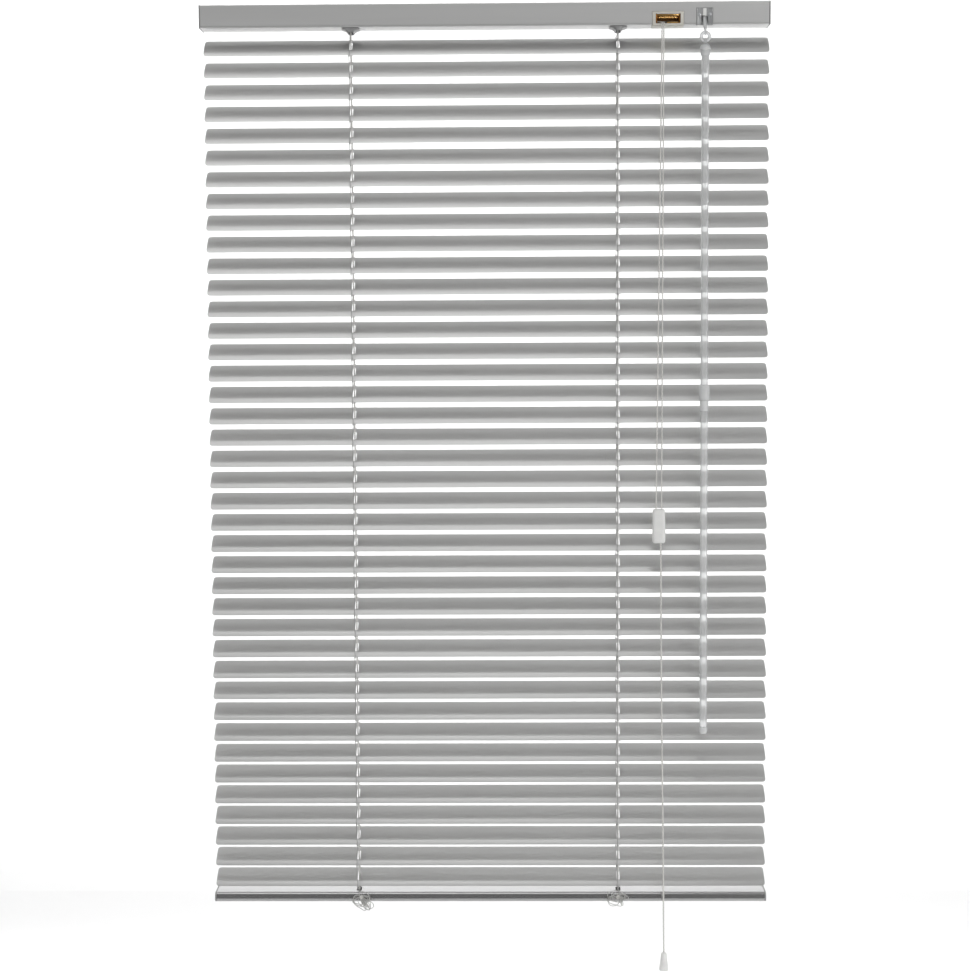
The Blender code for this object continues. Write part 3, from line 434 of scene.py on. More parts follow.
def tube(route, radius, sides=10, closed=False):
    """A round cord along a route. Its UV map runs once around it, and in metres along it."""
    route = [Vector(point) for point in route]
    count = len(route)

    def build(bm):
        layer = bm.loops.layers.uv.new("along")
        rings, lengths, side, length = [], [], None, 0.0
        for number, point in enumerate(route):
            before = route[number - 1] if number or closed else point
            after = route[(number + 1) % count] if number + 1 < count or closed else point
            along = (after - before).normalized()
            if side is None:
                side = along.orthogonal().normalized()
            side = (side - along * side.dot(along)).normalized()
            other = along.cross(side)
            if number:
                length += (point - route[number - 1]).length
            lengths.append(length)
            circle = []
            for step in range(sides):
                angle = 2 * math.pi * step / sides
                circle.append(bm.verts.new(point + radius * (math.cos(angle) * side + math.sin(angle) * other)))
            rings.append(circle)
        pairs = list(zip(range(count), range(1, count)))
        if closed:
            pairs.append((count - 1, 0))
        for near, far in pairs:
            for step in range(sides):
                after = (step + 1) % sides
                face = bm.faces.new((rings[near][step], rings[near][after], rings[far][after], rings[far][step]))
                end = lengths[far] if far else length + (route[0] - route[-1]).length
                turns = (step / sides, (step + 1) / sides)
                corners = ((turns[0], lengths[near]), (turns[1], lengths[near]), (turns[1], end), (turns[0], end))
                for loop, corner in zip(face.loops, corners):
                    loop[layer].uv = corner
        if not closed:
            bm.faces.new(reversed(rings[0]))
            bm.faces.new(rings[-1])
        bmesh.ops.recalc_face_normals(bm, faces=bm.faces)

    return mesh_of(build)


def arc(centre, radius, start, end, pieces):
    """Points on an arc, angles in degrees."""
    points = []
    for number in range(pieces + 1):
        angle = math.radians(start + (end - start) * number / pieces)
        points.append((centre[0] + radius * math.cos(angle), centre[1] + radius * math.sin(angle)))
    return points


def rolled_strip(profile, low_x, high_x, wall):
    """Sheet metal with the given section in Y and Z, run along X."""
    bm = bmesh.new()
    ends = []
    for x in (low_x, high_x):
        verts = [bm.verts.new((x, y, z)) for y, z in profile]
        ends.append([bm.edges.new(pair) for pair in zip(verts, verts[1:])])
    bmesh.ops.bridge_loops(bm, edges=ends[0] + ends[1])
    bmesh.ops.recalc_face_normals(bm, faces=bm.faces)
    mesh = bpy.data.meshes.new("strip")
    bm.to_mesh(mesh)
    bm.free()
    obj = bpy.data.objects.new("strip", mesh)
    bpy.context.scene.collection.objects.link(obj)
    solid = obj.modifiers.new("wall", "SOLIDIFY")
    solid.thickness = wall
    solid.offset = 0
    solid.use_even_offset = True
    return plain_mesh(obj)


def cut_away(mesh, cutters):
    """The mesh with each cutter's shape taken out."""
    obj = bpy.data.objects.new("blank", mesh)
    bpy.context.scene.collection.objects.link(obj)
    tools = []
    for cutter in cutters:
        tool = bpy.data.objects.new("cutter", cutter)
        bpy.context.scene.collection.objects.link(tool)
        modifier = obj.modifiers.new("cut", "BOOLEAN")
        modifier.operation = "DIFFERENCE"
        modifier.solver = "EXACT"
        modifier.object = tool
        tools.append(tool)
    made = plain_mesh(obj)
    for tool in tools:
        bpy.data.objects.remove(tool)
    return made


def softened(mesh, edge, segments=2, angle=35):
    """The mesh with its sharper edges rounded."""
    obj = bpy.data.objects.new("blank", mesh)
    bpy.context.scene.collection.objects.link(obj)
    bevel = obj.modifiers.new("edges", "BEVEL")
    bevel.width = edge
    bevel.segments = segments
    bevel.limit_method = "ANGLE"
    bevel.angle_limit = math.radians(angle)
    return plain_mesh(obj)


def placed(name, mesh, finish, body, replaced=(), smooth_under=38):
    """A finished piece, riding on its body and standing for its CAD nodes."""
    piece = new_piece(name, mesh, finish, smooth_under)
    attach(piece, body)
    if replaced:
        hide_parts(*replaced)
    return piece


# ---------------------------------------------------------------- camera


def make_camera():
    """The view from the front, a little right of centre and a third of the way down."""
    data = bpy.data.cameras.new("camera")
    data.sensor_fit = "HORIZONTAL"
    data.sensor_width = 36.0
    data.lens = 70.03
    camera = bpy.data.objects.new("camera", data)
    scene.collection.objects.link(camera)
    yaw, pitch, roll = (math.radians(angle) for angle in (0.917, -4.223, -0.295))
    camera.matrix_world = (
        Matrix.Translation((0.0288, -1.9119, -0.3257))
        @ Matrix.Rotation(yaw, 4, "Z")
        @ Matrix.Rotation(math.pi / 2 + pitch, 4, "X")
        @ Matrix.Rotation(roll, 4, "Z")
    )
    scene.camera = camera


# ---------------------------------------------------------------- cords


def lift_cord_route(side):
    """The whole of one lift cord: the run inside the blind, then the drop in front of it."""
    x = LADDER_X[0] if side == "left" else LADDER_X[1]
    place = -1 if side == "left" else 1
    run_z = FLOOR_TOP + GAP + 0.0012 + CORD_RADIUS + 0.0006
    run_y = MIDDLE_Y if side == "right" else MIDDLE_Y - 0.0045
    exit_x = EXIT_X + place * EXIT_SPREAD
    lip_y = LOCK_Y - CORD_RADIUS - GAP
    climb = [
        (x, MIDDLE_Y, BOTTOM_AXIS.z + 0.0015),
        (x, MIDDLE_Y, BOTTOM_AXIS.z + 0.3),
        (x, MIDDLE_Y, FIRST_SLAT_Z - 0.3),
        (x, MIDDLE_Y, FIRST_SLAT_Z),
        (x, MIDDLE_Y, run_z - 0.006),
        (x + 0.0002, MIDDLE_Y, run_z - 0.003),
        (x + 0.0022, MIDDLE_Y, run_z - 0.0004),
    ]
    along = [(x + 0.006, MIDDLE_Y + (run_y - MIDDLE_Y) * 0.25, run_z)]
    if side == "left":
        along += [
            (x + 0.020, run_y, run_z),
            (x + 0.090, run_y, run_z),
            (LADDER_X[1] - 0.020, run_y, run_z),
            (LADDER_X[1] + 0.016, run_y, run_z),
            (LOCK_X - 0.020, run_y - 0.0003, run_z + 0.0002),
            (LOCK_X - 0.0125, run_y - 0.0020, run_z + 0.0008),
        ]
    else:
        along += [
            (x + 0.020, run_y, run_z),
            (LOCK_X - 0.020, run_y, run_z),
            (LOCK_X - 0.0120, run_y - 0.0012, run_z + 0.0006),
            (LOCK_X - 0.0070, run_y - 0.0045, run_z + 0.0010),
        ]
    leave = [
        (exit_x - 0.0004, LOCK_Y + 0.0035, LOCK_FLOOR_TOP + CORD_RADIUS + 0.0010),
        (exit_x, lip_y + 0.0004, LOCK_FLOOR_TOP + 0.0006),
        (exit_x, lip_y - 0.0001, RAIL_FLOOR - 0.0010),
        (exit_x - 0.00002, lip_y - 0.0002, RAIL_FLOOR - 0.006),
    ]
    end = Vector((CONNECTOR_X + place * DROP_SPREAD, CONNECTOR_Y, CONNECTOR_HIGH.z + GAP))
    start = Vector(leave[-1])
    fall = [start.lerp(end, share) for share in (0.1, 0.5, 0.9, 1.0)]
    inside = smooth_route(climb + along + leave[:2], 0.003)
    drop = smooth_route([leave[1], leave[2], leave[3], *fall], 0.003)
    return inside, drop


def make_lift_cords():
    for side in ("left", "right"):
        inside, drop = lift_cord_route(side)
        placed(f"lift_cord_{side}_run", tube(inside, CORD_RADIUS, 10), CORD_BRAID, "headrail",
               [f"lift_cord_{side}"])
        piece = placed(f"lift_cord_{side}_drop", tube(drop, CORD_RADIUS, 12), CORD_BRAID, "headrail",
                       [f"lift_cord_{side}"])


def make_pull_cord():
    top = Vector((CONNECTOR_X + TAIL_SHIFT, CONNECTOR_Y, CONNECTOR_LOW.z - GAP))
    low = Vector((TASSEL_X, CONNECTOR_Y, TASSEL_HIGH.z + GAP))
    knots = [top, top.lerp(low, 0.35) + Vector((-0.0004, 0, 0)), top.lerp(low, 0.7), low]
    route = smooth_route(knots, 0.004)
    piece = placed("pull_cord_tail", tube(route, TAIL_RADIUS, 12), CORD_BRAID, "headrail", ["pull_cord"])


def make_connector():
    """A block that gathers the lift cords: sides that widen downwards, soft edges, cord bores."""
    centre = (CONNECTOR_LOW + CONNECTOR_HIGH) / 2
    half = (CONNECTOR_HIGH - CONNECTOR_LOW) / 2
    block = box_shape(CONNECTOR_LOW, CONNECTOR_HIGH, 0.0024, 5)
    for vertex in block.vertices:
        share = (vertex.co.z - centre.z) / half.z
        vertex.co.x = centre.x + (vertex.co.x - centre.x) * (0.97 - 0.03 * share)
    bores = []
    for x, z in ((-DROP_SPREAD, CONNECTOR_HIGH.z), (DROP_SPREAD, CONNECTOR_HIGH.z), (TAIL_SHIFT, CONNECTOR_LOW.z)):
        bores.append(moved(turned(((0.0011, 0.004), (0.0011, -0.004)), 20), (CONNECTOR_X + x, CONNECTOR_Y, z)))
    return placed("cord_connector_block", cut_away(block, bores), WHITE_PLASTIC, "headrail",
                  ["cord_connector"])


def make_tassel():
    """A pull that widens to a rolled rim and a hollow mouth."""
    length = TASSEL_HIGH.z - TASSEL_LOW.z
    mouth = (TASSEL_HIGH.x - TASSEL_LOW.x) / 2
    outer = ((0.0, 0.34), (0.015, 0.46), (0.05, 0.55), (0.10, 0.60), (0.30, 0.69), (0.50, 0.79), (0.70, 0.88),
             (0.92, 0.98), (0.95, 1.0), (0.98, 1.0), (1.0, 0.96))
    inner = ((1.0, 0.78), (0.93, 0.74), (0.70, 0.62), (0.60, 0.20))
    profile = [(share * mouth, -drop * length) for drop, share in outer + inner]
    return placed("tassel_bell", moved(turned(profile, 36), (TASSEL_X, CONNECTOR_Y, TASSEL_HIGH.z)),
                  WHITE_PLASTIC, "headrail", ["tassel"])


# ---------------------------------------------------------------- slats


def solid_from_sheet(tree, sheet, offset):
    """A sheet thickened by an offset, closed and welded."""
    raised = add_node(tree, "GeometryNodeExtrudeMesh", {
        "Mesh": sheet, "Offset": offset, "Offset Scale": 1.0, "Individual": False,
    })
    under = add_node(tree, "GeometryNodeFlipFaces", {"Mesh": sheet})
    both = add_node(tree, "GeometryNodeJoinGeometry")
    tree.links.new(raised.outputs["Mesh"], both.inputs[0])
    tree.links.new(under.outputs[0], both.inputs[0])
    weld = add_node(tree, "GeometryNodeMergeByDistance", {"Geometry": both.outputs[0], "Distance": 0.00001})
    return weld.outputs[0]


def slat_tree():
    """Geometry nodes for one slat: a crowned strip with round corners and two route holes."""
    tree = bpy.data.node_groups.new("slat_strip", "GeometryNodeTree")
    sockets = {}
    for name in SLAT:
        sockets[name] = tree.interface.new_socket(name, in_out="INPUT", socket_type="NodeSocketFloat")
    sockets["Tilt"] = tree.interface.new_socket("Tilt", in_out="INPUT", socket_type="NodeSocketFloat")
    sockets["Axis"] = tree.interface.new_socket("Axis", in_out="INPUT", socket_type="NodeSocketVector")
    tree.interface.new_socket("Geometry", in_out="OUTPUT", socket_type="NodeSocketGeometry")
    given = add_node(tree, "NodeGroupInput").outputs

    grid = add_node(tree, "GeometryNodeMeshGrid", {
        "Size X": given["Length"], "Size Y": 2.0, "Vertices X": 57, "Vertices Y": 19,
    })
    point = add_node(tree, "GeometryNodeInputPosition")
    parts = add_node(tree, "ShaderNodeSeparateXYZ", {0: point.outputs[0]})
    across = math_node(tree, "SINE", math_node(tree, "MULTIPLY", parts.outputs["Y"], math.pi / 2))
    half = math_node(tree, "MULTIPLY", given["Width"], 0.5)
    y = math_node(tree, "MULTIPLY", across, half)
    past = math_node(tree, "SUBTRACT", math_node(tree, "ABSOLUTE", y),
                     math_node(tree, "SUBTRACT", half, given["Corner"]))
    past = math_node(tree, "MAXIMUM", past, 0.0)
    square = math_node(tree, "SUBTRACT", math_node(tree, "POWER", given["Corner"], 2.0),
                       math_node(tree, "POWER", past, 2.0))
    inset = math_node(tree, "SUBTRACT", given["Corner"],
                      math_node(tree, "SQRT", math_node(tree, "MAXIMUM", square, 0.0)))
    share = math_node(tree, "DIVIDE", inset, math_node(tree, "MULTIPLY", given["Length"], 0.5))
    x = math_node(tree, "MULTIPLY", parts.outputs["X"], math_node(tree, "SUBTRACT", 1.0, share))
    rise = math_node(tree, "SUBTRACT", 0.5, math_node(tree, "POWER", across, 2.0))
    z = math_node(tree, "MULTIPLY", given["Crown"], rise)
    crowned = add_node(tree, "ShaderNodeCombineXYZ", {"X": x, "Y": y, "Z": z})
    strip = add_node(tree, "GeometryNodeSetPosition", {
        "Geometry": grid.outputs["Mesh"], "Position": crowned.outputs[0],
    })
    depth = add_node(tree, "ShaderNodeCombineXYZ", {"Z": given["Thickness"]})
    blank = solid_from_sheet(tree, strip.outputs[0], depth.outputs[0])

    outline = add_node(tree, "GeometryNodeCurvePrimitiveQuadrilateral", {
        "Width": given["Hole Width"], "Height": given["Hole Length"],
    })
    rounded = add_node(tree, "GeometryNodeFilletCurve", {
        "Curve": outline.outputs[0], "Radius": math_node(tree, "MULTIPLY", given["Hole Width"], 0.4), "Count": 3,
    }, mode="POLY")
    hole = add_node(tree, "GeometryNodeFillCurve", {"Curve": rounded.outputs[0]}, mode="NGONS")
    punch = solid_from_sheet(tree, hole.outputs[0], (0, 0, 0.01))
    punches = add_node(tree, "GeometryNodeJoinGeometry")
    for side in (-0.5, 0.5):
        place = math_node(tree, "ADD", math_node(tree, "MULTIPLY", given["Ladder Spacing"], side),
                          given["Ladder Shift"])
        offset = add_node(tree, "ShaderNodeCombineXYZ", {"X": place, "Z": -0.005})
        held = add_node(tree, "GeometryNodeTransform", {"Geometry": punch, "Translation": offset.outputs[0]})
        tree.links.new(held.outputs[0], punches.inputs[0])
    pierced = add_node(tree, "GeometryNodeMeshBoolean", operation="DIFFERENCE", solver="EXACT")
    tree.links.new(blank, pierced.inputs["Mesh 1"])
    tree.links.new(punches.outputs[0], pierced.inputs["Mesh 2"])

    turn = add_node(tree, "ShaderNodeCombineXYZ", {"X": given["Tilt"]})
    hung = add_node(tree, "GeometryNodeTransform", {
        "Geometry": pierced.outputs["Mesh"], "Translation": given["Axis"], "Rotation": turn.outputs[0],
    })
    real = add_node(tree, "GeometryNodeRealizeInstances", {0: hung.outputs[0]})
    painted = add_node(tree, "GeometryNodeSetMaterial", {"Geometry": real.outputs[0], "Material": SLAT_PAINT})
    end = add_node(tree, "NodeGroupOutput")
    tree.links.new(painted.outputs[0], end.inputs[0])
    return tree, {name: socket.identifier for name, socket in sockets.items()}


def grown_mesh(tree, keys, values):
    """The plain mesh that a geometry tree makes from the given inputs."""
    obj = bpy.data.objects.new("grown", bpy.data.meshes.new("seed"))
    bpy.context.scene.collection.objects.link(obj)
    modifier = obj.modifiers.new("grow", "NODES")
    modifier.node_group = tree
    for name, value in values.items():
        modifier[keys[name]] = value
    return plain_mesh(obj)


def slat_tilt(number):
    """The rest tilt of a slat, counted from 1 at the top."""
    return TOP_TILT + (BOTTOM_TILT - TOP_TILT) * (number - 1) / (SLAT_COUNT - 1)


def across_slat(number, y, z):
    """World Y and Z of a point given across a slat's section, from its axis."""
    tilt, axis = slat_tilt(number), SLAT_AXES[number - 1]
    return (
        axis.y + y * math.cos(tilt) - z * math.sin(tilt),
        axis.z + y * math.sin(tilt) + z * math.cos(tilt),
    )


def make_slats():
    tree, keys = slat_tree()
    for number, axis in enumerate(SLAT_AXES, 1):
        values = dict(SLAT, Tilt=slat_tilt(number), Axis=tuple(axis))
        mesh = grown_mesh(tree, keys, values)
        node = f"slat_{number:02d}"
        placed(f"{node}_strip", mesh, SLAT_PAINT, node, [node])


# ---------------------------------------------------------------- ladders


def make_rungs():
    """Under each slat, the two threads of each ladder that it lies on."""
    for number in range(1, SLAT_COUNT + 1):
        threads = []
        for x in LADDER_X:
            for bow in (-RUNG_BOW, RUNG_BOW):
                inner = SLAT["Width"] / 2 - RUNG_RADIUS
                knots = [
                    (x, *across_slat(number, -STRING_OFFSET, -EDGE_DROP)),
                    (x + 0.6 * bow, *across_slat(number, -inner, -RUNG_DROP)),
                    (x + bow, *across_slat(number, 0, -RUNG_DROP + EDGE_DROP)),
                    (x + 0.6 * bow, *across_slat(number, inner, -RUNG_DROP)),
                    (x, *across_slat(number, STRING_OFFSET, -EDGE_DROP)),
                ]
                threads.append(tube(smooth_route(knots, 0.004), RUNG_RADIUS, 6))
        node = f"slat_{number:02d}"
        placed(f"rungs_{number:02d}", joined(threads), PALE_YARN, node)


def string_points(number, face):
    """Where a ladder string passes a slat's edge, from the middle line of the ladder."""
    return across_slat(number, face * STRING_OFFSET, -EDGE_DROP)


def make_strings():
    """The ladders' strings: the long middles, their tops inside the headrail, and their ends."""
    for face, body, node in ((-1, "ladder_front", "ladder_left"), (1, "ladder_back", "ladder_right")):
        middles, tops, ends = [], [], []
        for x in LADDER_X:
            knots = []
            for number in range(1, SLAT_COUNT + 1):
                y, z = string_points(number, face)
                kink = STRING_SHIFT + STRING_WEAVE * (-1) ** number
                knots.append((x + kink, y, z))
            middles.append(tube(smooth_route(knots, 0.006), STRING_RADIUS, 8))
            for number in range(1, SLAT_COUNT + 1):
                y, z = string_points(number, face)
                kink = STRING_SHIFT + STRING_WEAVE * (-1) ** number
                knot = turned(((0.0002, 0.0009), (0.00048, 0.0005), (0.00055, 0), (0.00048, -0.0005),
                               (0.0002, -0.0009)), 8)
                middles.append(moved(knot, (x + kink, y, z)))
            first_y, first_z = string_points(1, face)
            top = [
                (x, MIDDLE_Y + face * (DRUM_RADIUS + STRING_RADIUS + GAP), ROD_HEIGHT),
                (x, MIDDLE_Y + face * (GUIDE_HALF - STRING_RADIUS - 2 * GAP), RAIL_FLOOR - GUIDE_DROP),
                (x + STRING_SHIFT - STRING_WEAVE, first_y, first_z),
            ]
            tops.append(tube(smooth_route(top, 0.003), STRING_RADIUS, 8))
            last_y, last_z = string_points(SLAT_COUNT, face)
            rail_y = BOTTOM_AXIS.y + face * (BOTTOM_DEPTH / 2 - 0.0018)
            rail_top = BOTTOM_AXIS.z + BOTTOM_HEIGHT / 2 + face * BOTTOM_DEPTH / 2 * math.sin(BOTTOM_TILT_ANGLE)
            end = [
                (x + STRING_SHIFT + STRING_WEAVE, last_y, last_z),
                (x + 0.0002, last_y + 0.3 * (rail_y - last_y), 0.5 * (last_z + rail_top)),
                (x, rail_y, rail_top - 0.001),
                (x + 0.001, rail_y - face * 0.004, rail_top + 0.0006),
            ]
            ends.append(tube(smooth_route(end, 0.003), STRING_RADIUS, 8))
        placed(f"{body}_strings", joined(middles), LADDER_YARN, body, [node])
        top_piece = new_piece(f"{body}_tops", joined(tops), LADDER_YARN)
        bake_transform(top_piece)
        end_piece = new_piece(f"{body}_ends", joined(ends), LADDER_YARN)
        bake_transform(end_piece)


def make_loose_ends():
    """The surplus of each ladder, bunched in loops and tied in front of the bottom rail."""
    for side, x, seed, spread in (("left", LADDER_X[0] + 0.003, 7, 0.0105), ("right", LADDER_X[1] - 0.001, 12, 0.0095)):
        draw = random.Random(seed)
        front = BOTTOM_AXIS.y - BOTTOM_DEPTH / 2 - 0.0012
        middle = Vector((x, front - 0.0014, BOTTOM_AXIS.z + 0.0010))
        threads = []
        for number in range(7):
            lean = draw.uniform(-1.2, 1.2)
            wide = draw.uniform(0.35, 1.0) * spread
            tall = draw.uniform(0.30, 0.72) * spread
            centre = middle + Vector((draw.uniform(-0.4, 0.4) * spread, 0, -draw.uniform(-0.1, 0.75) * spread))
            layer = -0.0008 * (number % 3)
            knots = []
            for step in range(9):
                angle = lean + 2 * math.pi * step / 8
                wobble = draw.uniform(0.85, 1.15)
                knots.append(centre + Vector((
                    wide * wobble * math.cos(angle), layer - 0.0006 * math.sin(2 * angle),
                    tall * wobble * math.sin(angle + 0.5 * lean),
                )))
            threads.append(tube(smooth_route([middle, *knots, middle], 0.0016), 0.00034, 6))
        placed(f"loose_ladder_end_{side}", joined(threads), PALE_YARN, "bottom_rail")
        knot = [ring(middle + Vector((0.0006 * n, -0.0006, 0.0004 * n)), (1, 0.3 * n, 0.2), 0.0013, 0.0006, 16, 8)
                for n in (-1, 0, 1)]
        placed(f"ladder_knot_{side}", joined(knot), CORD_BRAID, "bottom_rail")


# ---------------------------------------------------------------- headrail


def make_headrail():
    """The channel, with a bead and a seam along its lower front edge and its lips turned in."""
    half_wall = RAIL_WALL / 2
    front, back = RAIL_FRONT + half_wall, RAIL_BACK - half_wall
    top, low = RAIL_TOP - half_wall, RAIL_FLOOR + half_wall
    profile = [(front + RAIL_LIP, top - 0.0012), (front + RAIL_LIP, top)]
    profile += [(front + 0.0007, top)] + arc((front + 0.0007, top - 0.0007), 0.0007, 100, 180, 5)
    profile += [(front, low + BEAD_TOP), (front - BEAD_PROUD, low + BEAD_TOP - 0.0011)]
    profile += arc((front - BEAD_PROUD + 0.0009, low + 0.0009), 0.0009, 180, 270, 6)
    profile += arc((back - RAIL_BEND, low + RAIL_BEND), RAIL_BEND, 270, 360, 8)
    profile += arc((back - 0.0007, top - 0.0007), 0.0007, 0, 90, 5)
    profile += [(back - RAIL_LIP, top), (back - RAIL_LIP, top - 0.0012)]
    inner = CAP_WALL + 0.0002
    shell = rolled_strip(profile, RAIL_LOW.x + inner, RAIL_HIGH.x - inner, RAIL_WALL)
    cutters = [box_shape((RAIL_LOW.x - 0.01, RAIL_FRONT - 0.003, RAIL_FLOOR + SEAM_RISE),
                         (RAIL_HIGH.x + 0.01, RAIL_FRONT - BEAD_PROUD + SEAM_DEPTH, RAIL_FLOOR + SEAM_RISE + SEAM_HEIGHT))]
    for x in LADDER_X:
        half_x, half_y = 0.0042, 0.0105
        cutters.append(box_shape((x - half_x, MIDDLE_Y - half_y, RAIL_FLOOR - 0.003),
                                 (x + half_x, MIDDLE_Y + half_y, FLOOR_TOP + 0.002)))
    for box_low, box_high, back_y, rise in (
        (LOCK_LOW, LOCK_HIGH, LOCK_HIGH.y, FRAME_TOP),
        (TILTER_LOW, TILTER_HIGH, RAIL_FRONT + 0.006, RAIL_FLOOR + 0.016),
    ):
        near = (box_low.x - GAP, RAIL_FRONT - 0.003, RAIL_FLOOR - 0.003)
        cutters.append(box_shape(near, (box_high.x + GAP, back_y + GAP, FLOOR_TOP + GAP)))
        cutters.append(box_shape(near, (box_high.x + GAP, RAIL_FRONT + 0.002, rise + GAP)))
    placed("headrail_channel", cut_away(shell, cutters), RAIL_PAINT, "headrail", ["headrail"], 50)
    for side, x in (("left", RAIL_LOW.x), ("right", RAIL_HIGH.x - CAP_WALL)):
        plate = box_shape((x, RAIL_FRONT - 0.0002, RAIL_FLOOR - 0.0002),
                          (x + CAP_WALL, RAIL_BACK, RAIL_TOP), 0.0004, 3)
        inward = CAP_WALL if side == "left" else -0.004
        flange = box_shape((x + inward, RAIL_FRONT + 0.0010, FLOOR_TOP + 0.0002),
                           (x + inward + 0.004, RAIL_BACK - 0.0010, FLOOR_TOP + 0.0014), 0.0003)
        wings = [
            box_shape((x + inward, y, FLOOR_TOP + 0.0012), (x + inward + 0.004, y + 0.0011, RAIL_TOP - 0.003), 0.0003)
            for y in (RAIL_FRONT + 0.0008, RAIL_BACK - 0.0019)
        ]
        placed(f"end_cap_{side}", joined([plate, flange, *wings]), CAP_PAINT, "headrail")


def make_string_guides():
    """The nylon saddles that carry the drums, with funnels that poke through the floor."""
    for side, x in zip(("left", "right"), LADDER_X):
        half_depth = RAIL_DEPTH / 2 - RAIL_WALL - 2 * GAP
        base_low, base_high = FLOOR_TOP + GAP, FLOOR_TOP + GAP + 0.0012
        shapes = [box_shape((x - 0.010, MIDDLE_Y - half_depth, base_low),
                            (x + 0.010, MIDDLE_Y + half_depth, base_high), 0.0004)]
        for end in (-1, 1):
            near = x + end * 0.0046
            far = near + end * 0.0015
            wall = box_shape((min(near, far), MIDDLE_Y - half_depth, base_high - GAP),
                             (max(near, far), MIDDLE_Y + half_depth, ROD_HEIGHT + 0.0053), 0.0006)
            bore = moved(turned(((0.0026, 0.02), (0.0026, -0.02)), 24), (x, MIDDLE_Y, ROD_HEIGHT), (1, 0, 0))
            arch = box_shape((x - 0.02, MIDDLE_Y - half_depth + 0.0015, base_high - 0.001),
                             (x + 0.02, MIDDLE_Y + half_depth - 0.0015, ROD_HEIGHT - 0.0041), 0.0008)
            shapes.append(cut_away(wall, [bore, arch]))
        rows = ((0.0000, 0.0088, 0.0113), (0.0005, 0.0090, 0.0114), (0.0010, 0.0070, 0.0110),
                (0.0020, 0.0048, 0.0105), (0.0032, 0.0036, 0.0101), (0.0041, 0.0032, 0.0099))
        funnel = funnel_shape(x, rows)
        shapes.append(cut_away(funnel, [box_shape(
            (x - 0.0022, MIDDLE_Y - GUIDE_HALF, RAIL_FLOOR - 0.01),
            (x + 0.0022, MIDDLE_Y + GUIDE_HALF, RAIL_FLOOR + 0.01), 0.0006)]))
        placed(f"string_guide_{side}", joined(shapes), DARK_NYLON, "headrail",
               [f"drum_cradle_{side}"])


def funnel_shape(x, rows, sides=32):
    """A flared funnel below the headrail's floor, from half widths and depths at each drop."""

    def build(bm):
        rings = []
        for drop, half_x, half_y in rows:
            circle = []
            for number in range(sides):
                angle = 2 * math.pi * number / sides
                c, s = math.cos(angle), math.sin(angle)
                reach = (abs(c) ** 4 + abs(s) ** 4) ** -0.25
                circle.append(bm.verts.new((x + half_x * reach * c, MIDDLE_Y + half_y * reach * s,
                                            RAIL_FLOOR - 0.0003 - drop)))
            rings.append(circle)
        for upper, lower in zip(rings, rings[1:]):
            for number in range(sides):
                after = (number + 1) % sides
                bm.faces.new((upper[number], lower[number], lower[after], upper[after]))
        bm.faces.new(rings[0])
        bm.faces.new(reversed(rings[-1]))
        bmesh.ops.recalc_face_normals(bm, faces=bm.faces)

    return mesh_of(build)


def make_drums():
    """The ladder drums: a spool with raised rims, clamped on the rod."""
    for side, x in zip(("left", "right"), LADDER_X):
        half = 0.004
        profile = [(0.0046, half), (DRUM_RADIUS - 0.0002, half), (DRUM_RADIUS, half - 0.0002),
                   (DRUM_RADIUS, half - 0.0016), (DRUM_RADIUS - 0.0003, half - 0.0020),
                   (DRUM_RADIUS - 0.0003, 0.0014 - half)]
        profile += [(DRUM_RADIUS, 0.0010 - half), (DRUM_RADIUS, 0.0002 - half), (DRUM_RADIUS - 0.0002, -half),
                    (0.0046, -half)]
        spool = moved(turned(profile, 48), (x, MIDDLE_Y, ROD_HEIGHT), (1, 0, 0))
        bore = moved(turned(((0.0026, 0.02), (0.0026, -0.02)), 6), (x, MIDDLE_Y, ROD_HEIGHT), (1, 0, 0))
        placed(f"ladder_spool_{side}", cut_away(spool, [bore]), DARK_NYLON, "tilt_rod",
               [f"ladder_drum_{side}"])


# ---------------------------------------------------------------- tilter and wand


